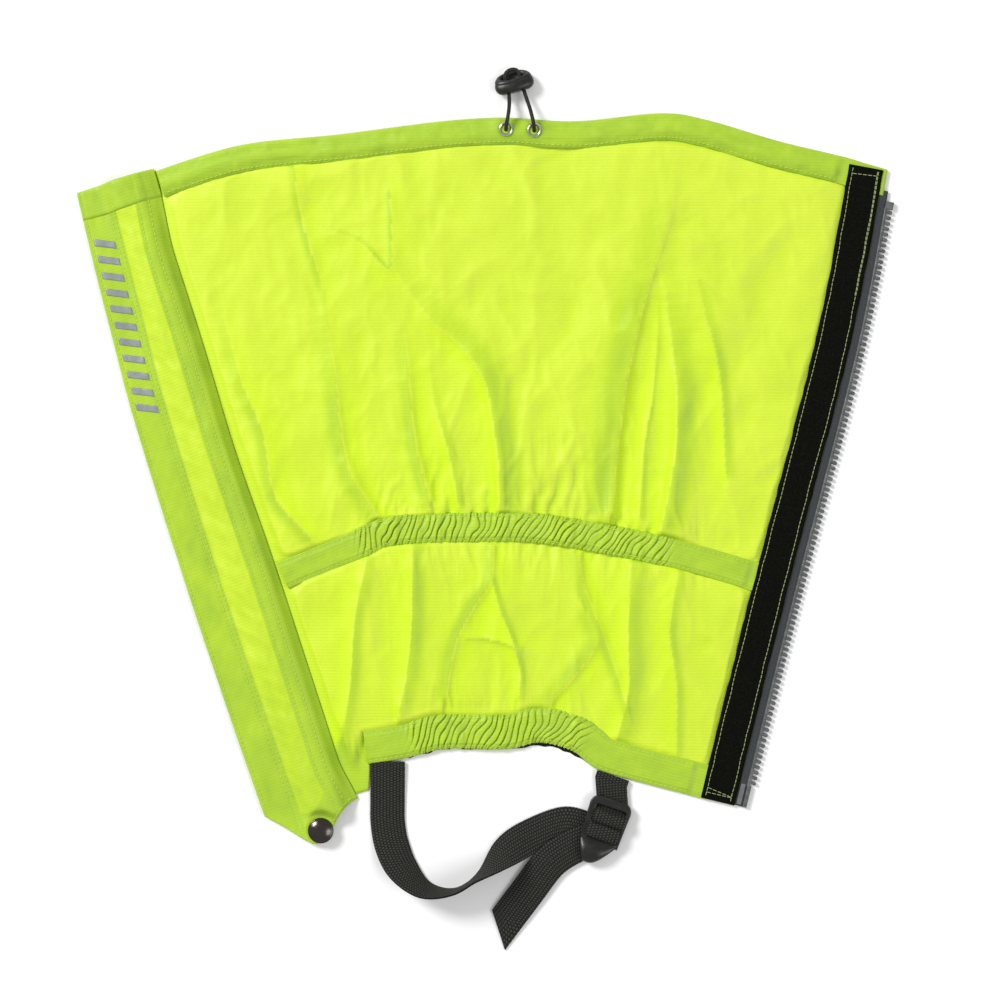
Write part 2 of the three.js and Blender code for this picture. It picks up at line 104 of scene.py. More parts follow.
def hump(x, middle, half):
    return np.exp(-(((np.asarray(x, float) - middle) / half) ** 2))


def noise(x, y, seed=0):
    """Smooth noise from -1 to 1 that changes over one unit."""
    x, y = np.broadcast_arrays(np.asarray(x, float), np.asarray(y, float))
    column, row = np.floor(x).astype(int), np.floor(y).astype(int)
    fx, fy = smoothstep(x - column, 0, 1), smoothstep(y - row, 0, 1)

    def corner(i, j):
        return RANDOM[(column + i + 37 * seed) % 256, (row + j + 91 * seed) % 256]

    low = corner(0, 0) * (1 - fx) + corner(1, 0) * fx
    high = corner(0, 1) * (1 - fx) + corner(1, 1) * fx
    return low * (1 - fy) + high * fy


def rough(x, y, seed=0, octaves=3):
    return sum(noise(x * 2.03 ** k, y * 2.03 ** k, seed + k) * 0.5 ** k for k in range(octaves))


class Line:
    """A smooth line through a few points, measured along its own length."""

    def __init__(self, points, fine=40):
        p = np.array(points, float)
        ends = np.vstack([p[:1], p, p[-1:]])
        t = np.linspace(0, 1, fine, endpoint=False)[:, None]
        spans = [0.5 * (2 * b + (c - a) * t + (2 * a - 5 * b + 4 * c - d) * t**2
                        + (3 * b - a - 3 * c + d) * t**3)
                 for a, b, c, d in zip(ends, ends[1:], ends[2:], ends[3:])]
        self.dense = np.vstack(spans + [p[-1:]])
        steps = np.linalg.norm(np.diff(self.dense, axis=0), axis=1)
        self.reach = np.concatenate([[0], np.cumsum(steps)])
        self.length = self.reach[-1]

    def at(self, s):
        s = np.clip(np.asarray(s, float), 0, self.length)
        return np.stack([np.interp(s, self.reach, values) for values in self.dense.T], axis=-1)

    def ahead(self, s, step=0.6):
        way = self.at(np.asarray(s) + step) - self.at(np.asarray(s) - step)
        return way / np.linalg.norm(way, axis=-1, keepdims=True)

    def beside(self, s, offset):
        """The point at s, moved to the left of travel by offset."""
        s, offset = np.broadcast_arrays(np.asarray(s, float), np.asarray(offset, float))
        way = self.ahead(s)
        return self.at(s) + np.stack([-way[..., 1], way[..., 0]], axis=-1) * offset[..., None]


TOP_EDGE = Line([(-190.5, 208.8), (-141, 223.9), (-83, 230.3), (-24, 237.8), (12.5, 239.8),
                 (53.7, 237.8), (102.4, 242.4), (129, 238.7), (171.4, 226.2), (209.7, 216.9), (232, 209.4)])
ANKLE_LINE = Line([(-117.5, -25.5), (-72.8, -7.3), (-52, 0.8), (0.9, 2.6), (38.6, 1.2),
                   (104.1, -11), (156, -25.5), (177, -33)])
HEM_EDGE = Line([(-67, -134.6), (-45, -131.1), (-22.9, -125.6), (13.6, -125.6), (32, -121.8),
                 (50.8, -126.4), (64.7, -136.9), (86.1, -143.8), (123.8, -153.7), (146, -160)])
LOOP_LINE = Line([(135.4, -156.6), (165, -36.5), (202.5, 110), (221.9, 211.7)])


def seam_bow(along):
    """How far the sewn seam bows to the left of the straight hinge line."""
    return (4.0 * smoothstep(along, -4, 26) * (1 - smoothstep(along, 330, 378))
            + 1.6 * hump(along, 214, 45))


def seam_point(along, across):
    along, across = np.broadcast_arrays(np.asarray(along, float), np.asarray(across, float))
    return SEAM_FOOT + along[..., None] * SEAM_ALONG + across[..., None] * SEAM_LEFT


def spread(rows, columns):
    """Two grids of values, each given as (first, last, count): one runs down the rows, one across."""
    return np.broadcast_arrays(np.linspace(*rows)[:, None], np.linspace(*columns)[None])


def lifted(place, height, *_):
    """Points in space from flat places and their heights."""
    height = np.broadcast_to(height, place.shape[:-1])
    return np.concatenate([place, height[..., None]], axis=-1)


# ---- meshes ----

def packed(points):
    """The pattern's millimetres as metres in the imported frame."""
    return (np.asarray(points) + SHIFT) * MM


def build(name, points, faces, uv=None, marks=None, soften=None):
    """A mesh object from points in millimetres. marks are values kept at each point, by name."""
    points = np.asarray(points, float).reshape(-1, 3)
    mesh = bpy.data.meshes.new(name)
    mesh.vertices.add(len(points))
    mesh.vertices.foreach_set("co", packed(points).astype(np.float32).ravel())
    corners = np.concatenate([f.ravel() for f in faces]).astype(np.int32)
    sizes = np.concatenate([np.full(len(f), f.shape[1]) for f in faces])
    mesh.loops.add(len(corners))
    mesh.loops.foreach_set("vertex_index", corners)
    mesh.polygons.add(len(sizes))
    starts = np.concatenate([[0], np.cumsum(sizes)[:-1]])
    mesh.polygons.foreach_set("loop_start", starts.astype(np.int32))
    mesh.update(calc_edges=True)
    if uv is not None:
        layer = mesh.uv_layers.new(name="UVMap")
        layer.data.foreach_set("uv", np.asarray(uv, np.float32).reshape(-1, 2)[corners].ravel())
    for key, values in (marks or {}).items():
        mark = mesh.attributes.new(key, "FLOAT", "POINT")
        mark.data.foreach_set("value", np.asarray(values, np.float32).ravel())
    mesh.shade_smooth()
    if soften:
        mesh.set_sharp_from_angle(angle=math.radians(soften))
    made = bpy.data.objects.new(name, mesh)
    bpy.context.scene.collection.objects.link(made)
    return made


def grid_faces(rows, columns, round_rows=False, round_columns=False):
    index = np.arange(rows * columns).reshape(rows, columns)
    if round_rows:
        index = np.vstack([index, index[:1]])
    if round_columns:
        index = np.hstack([index, index[:, :1]])
    corners = [index[:-1, :-1], index[:-1, 1:], index[1:, 1:], index[1:, :-1]]
    return np.stack(corners, axis=-1).reshape(-1, 4)


def tube_faces(rows, ring):
    """Faces of a tube whose rings run anticlockwise about its way, with a flat cap at each end."""
    caps = np.arange(ring)
    return [grid_faces(rows, ring, round_columns=True), caps[None, ::-1], (caps + (rows - 1) * ring)[None]]


def grid_normals(points):
    along = np.gradient(points, axis=0)
    across = np.gradient(points, axis=1)
    normal = np.cross(across, along)
    return normal / np.maximum(np.linalg.norm(normal, axis=-1, keepdims=True), 1e-9)


def closed_sheet(upper, lower):
    """Points and faces of a closed body between two grids of one shape."""
    rows, columns = upper.shape[:2]
    count = rows * columns
    order = -1 if grid_normals(upper)[..., 2].mean() < 0 else 1
    top = grid_faces(rows, columns)[:, ::order]
    index = np.arange(count).reshape(rows, columns)
    ring = np.concatenate([index[0], index[1:, -1], index[-1, -2::-1], index[-2:0:-1, 0]])
    after = np.roll(ring, -1)
    rim = np.stack([ring, ring + count, after + count, after], axis=1)[:, ::order]
    return np.concatenate([upper.reshape(-1, 3), lower.reshape(-1, 3)]), [top, top[:, ::-1] + count, rim]


def closed_piece(name, upper, lower, uv, marks=None):
    """A closed body between two grids, which share their uv and marks."""
    points, faces = closed_sheet(upper, lower)
    twice = {key: np.concatenate([values.ravel()] * 2) for key, values in (marks or {}).items()}
    return build(name, points, faces, np.concatenate([uv.reshape(-1, 2)] * 2), twice)


def sheet_piece(name, upper, uv, marks):
    """A single layer of cloth whose upper face is the grid."""
    normals = grid_normals(upper)
    lower = upper - normals * np.sign(normals[..., 2].mean()) * CLOTH
    lower[..., 2] = np.minimum(np.maximum(lower[..., 2], 0.02), upper[..., 2] - 0.1)
    return closed_piece(name, upper, lower, uv, marks)


def pillow_piece(name, place, top, bottom, uv, marks=None):
    """A closed body over the grid of places, between two heights at each."""
    return closed_piece(name, lifted(place, top), lifted(place, bottom), uv, marks)


def swept(centres, sides, ups, section):
    """Points and faces of a closed section carried along centres, with flat caps."""
    section = np.asarray(section, float)
    points = (centres[:, None] + section[None, :, :1] * sides[:, None] + section[None, :, 1:] * ups[:, None])
    return points.reshape(-1, 3), tube_faces(*points.shape[:2])


def swept_level(path, way, section):
    """A section carried along a path that lies level, with its sides level too."""
    sides = np.column_stack([-way[:, 1], way[:, 0], np.zeros(len(way))])
    return swept(path, sides, np.tile([0, 0, 1.0], (len(way), 1)), section)


def joined(parts):
    """Several (points, faces) or (points, faces, uv) as one."""
    faces, start = [], 0
    for part in parts:
        faces += [f + start for f in part[1]]
        start += len(part[0])
    points = np.concatenate([part[0] for part in parts])
    return (points, faces, *(np.concatenate(uv) for uv in zip(*(part[2:] for part in parts))))


def copies(points, faces, origins, axes):
    """One small body repeated: axes[n] holds the three directions of copy n as rows."""
    placed = origins[:, None] + np.einsum("pk,nkd->npd", points, axes)
    starts = (np.arange(len(origins)) * len(points))[:, None, None]
    return placed.reshape(-1, 3), [(f[None] + starts).reshape(-1, f.shape[1]) for f in faces]


def lathe(profile, segments=48):
    """A closed ring or, where the profile starts and ends on the axis, a closed solid."""
    profile = np.array(profile, float)
    on_axis = profile[0, 0] == 0 and profile[-1, 0] == 0
    body = profile[1:-1] if on_axis else profile
    angle = np.linspace(0, 2 * math.pi, segments, endpoint=False)
    rings = np.stack([body[:, :1] * np.cos(angle), body[:, :1] * np.sin(angle),
                      np.repeat(body[:, 1:], segments, axis=1)], axis=-1)
    faces = [grid_faces(len(body), segments, round_rows=not on_axis, round_columns=True)]
    points = rings.reshape(-1, 3)
    if on_axis:
        points = np.vstack([points, [0, 0, profile[0, 1]], [0, 0, profile[-1, 1]]])
        ring, last = np.arange(segments), (len(body) - 1) * segments
        foot, head = len(points) - 2, len(points) - 1
        faces.append(np.stack([np.roll(ring, -1), ring, np.full(segments, foot)], axis=1))
        faces.append(np.stack([ring + last, np.roll(ring, -1) + last, np.full(segments, head)], axis=1))
    return points, faces


def rounded_box(half_width, half_height, radius, corners=4):
    """A rounded rectangle, anticlockwise."""
    turn = np.linspace(0, math.pi / 2, corners)
    points = []
    for quarter, (sx, sy) in enumerate([(1, 1), (-1, 1), (-1, -1), (1, -1)]):
        angle = turn + quarter * math.pi / 2
        points.append(np.stack([sx * (half_width - radius) + radius * np.cos(angle),
                                sy * (half_height - radius) + radius * np.sin(angle)], axis=1))
    return np.concatenate(points)


def circle(radius, count=12):
    angle = np.linspace(0, 2 * math.pi, count, endpoint=False)
    return radius * np.stack([np.cos(angle), np.sin(angle)], axis=1)


def stitches(rows, pitch=2.9, length=2.2, radius=0.24):
    """Sewn threads: each row is (place, start, stop), where place(s) gives points on the cloth."""
    rings = [(-0.5, 0.3, -0.6), (-0.34, 1, 0.1), (0.34, 1, 0.1), (0.5, 0.3, -0.6)]  # place, radius, height
    turn = np.linspace(0, 2 * math.pi, 6, endpoint=False)
    thread = np.array([[x, r * math.cos(a), h + r * math.sin(a)] for x, r, h in rings for a in turn])
    faces = tube_faces(len(rings), len(turn))
    origins, axes = [], []
    for place, start, stop in rows:
        count = max(1, int((stop - start) / pitch))
        begin = start + (np.arange(count) + 0.12) * (stop - start) / count
        first, last = place(begin), place(begin + length)
        way = last - first
        long = np.linalg.norm(way, axis=1, keepdims=True)
        along = way / np.maximum(long, 1e-6)
        side = np.cross([0, 0, 1], along)
        side /= np.linalg.norm(side, axis=1, keepdims=True)
        up = np.cross(along, side)
        origins.append((first + last) / 2 + up * radius * 0.5)
        axes.append(np.stack([along * long, side * radius, up * radius], axis=1))
    return copies(thread, faces, np.concatenate(origins), np.concatenate(axes))


# ---- materials ----

def colour(red, green, blue):
    """Linear colour from a display colour of 0 to 255."""
    def linear(value):
        value /= 255
        return value / 12.92 if value <= 0.04045 else ((value + 0.055) / 1.055) ** 2.4
    return (linear(red), linear(green), linear(blue), 1.0)


class Look:
    """A material under construction. Lengths in its patterns are millimetres."""

    def __init__(self, name, roughness=0.5, metallic=0.0, specular=0.5, sheen=0.0, on_uv=True):
        self.material = bpy.data.materials.new(name)
        self.material.use_nodes = True
        self.tree = self.material.node_tree
        self.shader = self.tree.nodes["Principled BSDF"]
        self.set("Roughness", roughness)
        self.set("Metallic", metallic)
        self.set("Specular IOR Level", specular)
        self.set("Sheen Weight", sheen)
        place = self.tree.nodes.new("ShaderNodeTexCoord").outputs["UV" if on_uv else "Object"]
        self.place = place if on_uv else self.vector("SCALE", place, scale=1 / MM)

    def set(self, name, value):
        self.shader.inputs[name].default_value = value

    def to(self, name, output):
        self.tree.links.new(output, self.shader.inputs[name])

    def node(self, kind, inputs=(), **settings):
        made = self.tree.nodes.new(kind)
        for key, value in settings.items():
            setattr(made, key, value)
        for key, value in dict(inputs).items():
            if isinstance(value, bpy.types.NodeSocket):
                self.tree.links.new(value, made.inputs[key])
            else:
                made.inputs[key].default_value = value
        return made

    def vector(self, operation, a, b=None, scale=None):
        made = self.node("ShaderNodeVectorMath", {0: a}, operation=operation)
        if b is not None:
            made.inputs[1].default_value = b
        if scale is not None:
            made.inputs["Scale"].default_value = scale
        return made.outputs[0]

    def math(self, operation, a, b=0.0):
        return self.node("ShaderNodeMath", {0: a, 1: b}, operation=operation).outputs[0]

    def part(self, axis):
        return self.node("ShaderNodeSeparateXYZ", {0: self.place}).outputs[axis]

    def grain(self, size, detail=2.0, stretch=(1, 1, 1)):
        """Noise from 0 to 1 with lumps of that size."""
        place = self.vector("MULTIPLY", self.place, stretch)
        inputs = {"Vector": place, "Scale": 1 / size, "Detail": detail}
        return self.node("ShaderNodeTexNoise", inputs).outputs[0]

    def ribs(self, axis, period, sharp=1.0):
        """0 to 1 across ribs that repeat along an axis."""
        wave = self.math("SINE", self.math("MULTIPLY", self.part(axis), math.pi / period))
        return self.math("POWER", self.math("ABSOLUTE", wave), sharp)

    def ramp(self, value, *stops):
        made = self.node("ShaderNodeValToRGB", {0: value})
        ramp = made.color_ramp
        while len(ramp.elements) < len(stops):
            ramp.elements.new(0.5)
        for element, (position, shade) in zip(ramp.elements, stops):
            element.position = position
            element.color = shade
        return made.outputs[0]

    def mix(self, share, a, b, blend="MIX"):
        made = self.node("ShaderNodeMix", data_type="RGBA", blend_type=blend)
        for socket, value in ((made.inputs[0], share), (made.inputs[6], a), (made.inputs[7], b)):
            if isinstance(value, bpy.types.NodeSocket):
                self.tree.links.new(value, socket)
            else:
                socket.default_value = value
        return made.outputs[2]

    def vary(self, value, amount):
        """A grey that brightens and darkens what it multiplies, from a 0 to 1 value."""
        low, high = 1 - amount, 1 + amount
        return self.ramp(value, (0.0, (low, low, low, 1)), (1.0, (high, high, high, 1)))

    def dull(self, value, smooth, rough_, low, high):
        """Roughness that goes from smooth to rough_ as a value goes from low to high."""
        self.to("Roughness", self.ramp(value, (low, (smooth,) * 3 + (1,)), (high, (rough_,) * 3 + (1,))))

    def bump(self, height, depth):
        """Relief of that depth from a 0 to 1 height."""
        made = self.node("ShaderNodeBump", {"Height": height, "Distance": depth * MM, "Strength": 1.0})
        self.to("Normal", made.outputs[0])


def fabric_look(name):
    look = Look(name, roughness=0.5, specular=0.3, sheen=0.06)
    # Painted shade: this mark turns the cloth darker and greener where it lies doubled, on steep flanks, in
    # dips and on fold faces.
    layers = look.node("ShaderNodeAttribute", attribute_name="layers").outputs["Fac"]
    base = look.ramp(layers, (0.0, colour(203, 224, 60)), (0.33, colour(184, 213, 42)),
                     (0.62, colour(157, 191, 48)), (1.0, colour(98, 136, 14)))
    # Painted bounced light: this mark mixes in saturated yellow in the hollows of folds.
    glow = look.node("ShaderNodeAttribute", attribute_name="glow").outputs["Fac"]
    base = look.mix(glow, base, colour(199, 232, 12))
    cloud = look.vary(look.grain(26, 4), 0.045)
    speck = look.vary(look.grain(1.3, 3), 0.06)
    rib = look.ribs(1, 1.75, 0.7)
    thread = look.ribs(0, 0.9, 0.7)
    base = look.mix(1.0, base, cloud, "MULTIPLY")
    base = look.mix(1.0, base, speck, "MULTIPLY")
    base = look.mix(1.0, base, look.vary(rib, 0.045), "MULTIPLY")
    look.to("Base Color", base)
    look.dull(look.grain(9, 3), 0.42, 0.56, 0.3, 0.7)
    weave = look.math("ADD", look.math("MULTIPLY", rib, 0.6), look.math("MULTIPLY", thread, 0.25))
    look.bump(look.math("ADD", weave, look.math("MULTIPLY", look.grain(2.2, 3), 0.9)), 0.075)
    return look.material


def thread_look(name, shade):
    look = Look(name, roughness=0.55, sheen=0.1, on_uv=False)
    look.to("Base Color", look.mix(1.0, shade, look.vary(look.grain(0.8, 2), 0.15), "MULTIPLY"))
    look.bump(look.grain(0.25, 2), 0.05)
    return look.material


def pile_look(name, shade_low, shade_high, size):
    """Loops or hooks of the touch fastener."""
    look = Look(name, roughness=0.95, specular=0.06)
    tuft = look.node("ShaderNodeTexVoronoi", {"Vector": look.place, "Scale": 1 / size}).outputs["Distance"]
    fuzz = look.math("ADD", look.math("MULTIPLY", tuft, 0.6), look.math("MULTIPLY", look.grain(size, 4), 0.6))
    look.to("Base Color", look.ramp(fuzz, (0.3, shade_low), (0.85, shade_high)))
    look.bump(fuzz, 0.35)
    return look.material


def webbing_look(name, dark, light):
    rib, cell = 1.45, 1.9  # length and width of one pad of the weave
    look = Look(name, roughness=0.75, specular=0.12)
    column = look.math("FLOOR", look.math("DIVIDE", look.part(0), cell))
    row = look.math("ADD", look.math("DIVIDE", look.part(1), rib), look.math("MULTIPLY", column, 0.5))
    pad_length = look.math("ABSOLUTE", look.math("SINE", look.math("MULTIPLY", row, math.pi)))
    pad = look.math("MULTIPLY", pad_length, look.ribs(0, cell, 0.6))
    # Painted highlight and shade: the weave is lighter on its raised pads and darker between them, varied at
    # random by the grain.
    worn = look.math("MULTIPLY", pad, look.math("ADD", look.grain(1.6, 3), 0.35))
    look.to("Base Color", look.ramp(worn, (0.06, dark), (0.8, light)))
    look.bump(pad, 0.3)
    return look.material


def cord_look(name):
    look = Look(name, roughness=0.6, specular=0.4)
    across = look.math("MULTIPLY", look.part(0), math.pi / 1.15)
    along = look.math("MULTIPLY", look.part(1), math.pi / 1.5)
    left = look.math("ABSOLUTE", look.math("SINE", look.math("ADD", across, along)))
    right = look.math("ABSOLUTE", look.math("SINE", look.math("SUBTRACT", across, along)))
    braid = look.math("MULTIPLY", left, right)
    # Painted highlight and shade: the braid is coloured lighter on its raised strands and darker in the
    # grooves between them.
    look.to("Base Color", look.ramp(braid, (0.0, colour(9, 10, 6)), (1.0, colour(42, 44, 34))))
    look.bump(braid, 0.18)
    return look.material


def plastic_look(name, shade, worn, roughness):
    look = Look(name, roughness=roughness, on_uv=False)
    scuff = look.grain(3.5, 5)
    look.to("Base Color", look.ramp(scuff, (0.42, shade), (0.85, worn)))
    look.dull(look.grain(1.5, 3), roughness * 0.8, min(1, roughness * 1.35), 0.3, 0.8)
    look.bump(look.grain(0.5, 3), 0.025)
    return look.material


def metal_look(name, shade, tarnish, roughness):
    look = Look(name, roughness=roughness, metallic=1.0, on_uv=False)
    brushed = look.grain(1.4, 4, (1, 5, 1))
    look.to("Base Color", look.ramp(brushed, (0.25, tarnish), (0.75, shade)))
    look.dull(look.grain(0.7, 3), roughness, roughness * 1.8, 0.3, 0.9)
    look.bump(brushed, 0.012)
    return look.material


def tape_look(name, dark, light):
    """Woven herringbone of a zip tape or a narrow elastic."""
    look = Look(name, roughness=0.8, specular=0.25)
    zigzag = look.math("MULTIPLY", look.ribs(0, 1.6), 1.4)
    slant = look.math("ADD", look.part(1), zigzag)
    twill = look.math("SINE", look.math("MULTIPLY", slant, math.pi / 0.45))
    fuzz = look.math("MULTIPLY", look.grain(0.9, 3), 0.7)
    weave = look.math("ADD", look.math("MULTIPLY", twill, 0.35), fuzz)
    look.to("Base Color", look.ramp(weave, (0.1, dark), (0.8, light)))
    look.bump(weave, 0.1)
    return look.material


def reflective_look(name):
    look = Look(name, roughness=0.35, metallic=0.45)
    beads = look.node("ShaderNodeTexVoronoi", {"Vector": look.place, "Scale": 2.4}).outputs["Distance"]
    worn = look.math("ADD", look.math("MULTIPLY", beads, 0.4), look.math("MULTIPLY", look.grain(5, 4), 0.7))
    look.to("Base Color", look.ramp(worn, (0.2, colour(172, 178, 178)), (0.8, colour(138, 144, 146))))
    look.bump(beads, 0.04)
    return look.material


def film_look(name):
    look = Look(name, roughness=0.16, specular=0.6, on_uv=False)
    shades = (0.3, colour(92, 95, 96)), (0.7, colour(112, 116, 117))
    look.to("Base Color", look.ramp(look.grain(4, 3), *shades))
    look.bump(look.grain(2.5, 3), 0.06)
    return look.material


def floor_look():
    look = Look("studio_floor", roughness=0.7, specular=0.1, on_uv=False)
    shades = (0.0, (0.93, 0.93, 0.93, 1)), (1.0, (0.95, 0.95, 0.95, 1))
    look.to("Base Color", look.ramp(look.grain(60, 2), *shades))
    return look.material


SHELL_FABRIC = fabric_look("shell_fabric")
SHELL_THREAD = thread_look("shell_thread", colour(188, 214, 70))
PALE_THREAD = thread_look("pale_thread", colour(160, 176, 112))
LOOP_PILE = pile_look("loop_pile", colour(3, 3, 2), colour(18, 19, 14), 0.8)
HOOK_PILE = pile_look("hook_pile", colour(10, 10, 9), colour(58, 58, 54), 1.3)
WEBBING = webbing_look("stirrup_webbing_weave", colour(11, 11, 9), colour(64, 65, 60))
BRAID = cord_look("drawcord_braid")
BLACK_PLASTIC = plastic_look("black_plastic", colour(13, 13, 11), colour(34, 34, 31), 0.36)
GREY_PLASTIC = plastic_look("zip_plastic", colour(76, 79, 79), colour(112, 115, 113), 0.42)
NICKEL = metal_look("nickel", colour(226, 226, 220), colour(178, 176, 168), 0.18)
DARK_NICKEL = metal_look("dark_nickel", colour(98, 92, 88), colour(58, 53, 50), 0.16)
ZIP_TAPE = tape_look("zip_tape_weave", colour(40, 42, 44), colour(80, 83, 85))
ELASTIC = tape_look("elastic_weave", colour(30, 30, 28), colour(64, 64, 60))
EDGE_TAPE = tape_look("edge_tape_weave", colour(9, 9, 8), colour(30, 30, 28))
REFLECTIVE = reflective_look("reflective_film")
FILM = film_look("tape_film")


def finish_piece(made, material, body=None, replaces=()):
    made.data.materials.clear()
    made.data.materials.append(material)
    if body:
        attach(made, body)
    if replaces:
        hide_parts(*replaces)
    return made


# ---- camera ----

VIEW_WIDTH = 580 * MM  # how much the camera sees across at the floor
LENS, SENSOR = 100, 36
AIM = np.array([8.4, 5.1]) * MM  # where the camera looks, from the middle of the object


def add_camera():
    middle = (Vector(CAD_BOX[0]) + Vector(CAD_BOX[1])) / 2
    data = bpy.data.cameras.new("camera")
    data.lens, data.sensor_width = LENS, SENSOR
    camera = bpy.data.objects.new("camera", data)
    camera.location = (middle.x + AIM[0], middle.y + AIM[1], VIEW_WIDTH * LENS / SENSOR)
    bpy.context.scene.collection.objects.link(camera)
    bpy.context.scene.camera = camera


add_camera()

# ---- drawcord, eyelets and lock ----

CORD_RADIUS = 1.1
HOLE_TOP = 5.3  # the cloth around the eyelets
# The free loop: out of the left eyelet, through the lock, round its dished end and back.
LOOP_ROUTE = [
    (13, 232.4, 4.5), (13.1, 233.4, 6.6), (13.5, 236.2, 8.6), (14.3, 240.6, 8.8), (14.9, 246, 7),
    (14.9, 250.5, 5.4), (14.6, 254.6, 4.9), (13.5, 258.7, 4.9), (12.6, 262.2, 4.9), (13, 265.3, 4.9),
    (15.6, 267.3, 4.9), (18.9, 267.3, 4.9), (20.6, 264.8, 4.9), (21.2, 262.9, 4.9), (21.9, 260.3, 4.9),
    (23.2, 256.2, 4.9), (24.8, 251, 5.4), (26.6, 245.6, 7), (28, 240.2, 8.8), (29, 235.8, 8.6),
    (29.3, 232.8, 6.6), (29.3, 231.8, 4.5),
]


def carried_frames(points):
    """Side and up directions along a path, without needless twist."""
    way = np.gradient(points, axis=0)
    way /= np.linalg.norm(way, axis=1, keepdims=True)
    side = np.cross([0.3, 0.2, 1.0], way[0])
    sides = []
    for direction in way:
        side = side - direction * np.dot(side, direction)
        side /= np.linalg.norm(side)
        sides.append(side)
    sides = np.array(sides)
    return sides, np.cross(way, sides)


def add_drawcord():
    route = Line(LOOP_ROUTE)
    path = route.at(np.linspace(0, route.length, 150))
    sides, ups = carried_frames(path)
    points, faces = swept(path, sides, ups, circle(CORD_RADIUS, 14))
    around = np.tile(np.arange(14) / 14 * 2 * math.pi * CORD_RADIUS, len(path))
    along = np.repeat(np.linspace(0, route.length, len(path)), 14)
    cord = build("drawcord", points, faces, np.stack([around, along], axis=1))
    finish_piece(cord, BRAID, "panel", ["drawcord_loop"])


def add_eyelets():
    profile = Line([(2.75, -1.3), (2.7, 0.2), (2.95, 0.85), (3.5, 1.05), (4.1, 0.6), (4.25, 0.1),
                    (3.5, -0.05), (3.1, -0.6), (3.0, -1.3)])
    ring = profile.at(np.linspace(0, profile.length, 26))
    for side, place in EYELETS.items():
        points, faces = lathe(ring[::-1])
        eyelet = build(f"eyelet_ring_{side}", points + [*place, HOLE_TOP], faces)
        finish_piece(eyelet, NICKEL, "panel", [f"eyelet_{side}"])


def turned(angle):
    """What rows of points are multiplied by to turn them about Z."""
    c, s = math.cos(angle), math.sin(angle)
    return np.array([[c, s, 0], [-s, c, 0], [0, 0, 1]])


LOCK = {"place": (17.7, 259.8, 4.9), "tilt": 0.26, "thick": 4.6, "foot": -5.6, "rim": 1.6}


def add_cord_lock():
    """An oval barrel, its far end dished and cut on a slant so that the cord's arch shows in it."""
    turn = np.linspace(0, 2 * math.pi, 56, endpoint=False)
    cos, sin = np.cos(turn), np.sin(turn)
    rim = LOCK["rim"] + 2.9 * (1 - sin)
    shells = [(0.0, 0.0, 0.0), (0.35, 6.0, 0.0), (0.62, 8.0, 0.02), (0.82, 9.6, 0.09), (0.94, 10.7, 0.2),
              (1.0, 11.4, 0.36), (1.0, 11.5, 0.5), (0.97, 11.2, 0.66), (0.95, 10.8, 0.72), (1.0, 10.9, 0.78),
              (0.98, 10.3, 0.9), (0.9, 9.4, 0.98), (0.82, 8.7, 1.0), (0.74, 8.1, 0.97), (0.66, 7.5, 0.85),
              (0.6, 7.0, 0.6), (0.4, 5.5, 0.5), (0.0, 0.0, 0.5)]
    rows = []
    for share, wide, height in shells:
        across = wide * np.sign(cos) * np.abs(cos) ** 0.9
        up = LOCK["thick"] * share * np.sign(sin) * np.abs(sin) ** 0.9
        along = LOCK["foot"] + (rim - LOCK["foot"]) * height
        rows.append(np.stack([across, along, up], axis=1))
    rows = np.array(rows)
    rows[0], rows[-1] = rows[0].mean(0), rows[-1].mean(0)
    points = rows[1:-1].reshape(-1, 3)
    faces = [f[:, ::-1] for f in tube_faces(len(shells) - 2, len(turn))]
    points = points @ turned(LOCK["tilt"]) + LOCK["place"]
    lock = build("cord_lock_barrel", points, faces)
    finish_piece(lock, BLACK_PLASTIC, "lock", ["cord_lock"])


add_drawcord()
add_eyelets()
add_cord_lock()

# ---- shell fabric ----

SECTION_ROWS = (72, 192)  # rows below and above the ankle line
COLUMNS = 341
TAPE_HALF = 10.0


def guide_points(share):
    """The three lines that the shell's grid follows, from the seam to beyond the loop tape."""
    foot_x = -73.4 + (145.4 + 73.4) * share
    edge = HEM_EDGE.at(np.linspace(0, HEM_EDGE.length, 400))
    edge_y = np.interp(foot_x, edge[:, 0], edge[:, 1])
    sewn = 1 - smoothstep(foot_x, -66.4, -64.4)
    corner_y = 0.3 * (foot_x + 75) - 152.2
    foot = np.stack([foot_x, (edge_y + 9) * (1 - sewn) + corner_y * sewn], axis=1)
    foot[:, 1] -= 8 * smoothstep(foot_x, 118, 140)
    ankle = ANKLE_LINE.at(share * ANKLE_LINE.length)
    top_end = LOOP_LINE.beside(LOOP_LINE.length, -TAPE_HALF - 0.5)
    top_length = TOP_EDGE.reach[np.argmin(np.abs(TOP_EDGE.dense[:, 0] - top_end[0]))]
    return foot, ankle, TOP_EDGE.at(share * top_length)


def left_of_seam(points):
    """How far points lie to the left of the bowed seam."""
    away = points[..., :2] - SEAM_FOOT
    return away @ SEAM_LEFT - seam_bow(away @ SEAM_ALONG)


def shell_places():
    share = np.linspace(0, 1, COLUMNS)
    foot, ankle, top = guide_points(share)
    low = np.linspace(0, 1, SECTION_ROWS[0], endpoint=False)[:, None, None]
    high = np.linspace(0, 1, SECTION_ROWS[1])[:, None, None]
    places = np.concatenate([foot + (ankle - foot) * low, ankle + (top - ankle) * high])
    left = left_of_seam(places[:, :1])
    reach = (1 - share[None, :, None]) ** 6
    return places - reach * left[..., None] * SEAM_LEFT


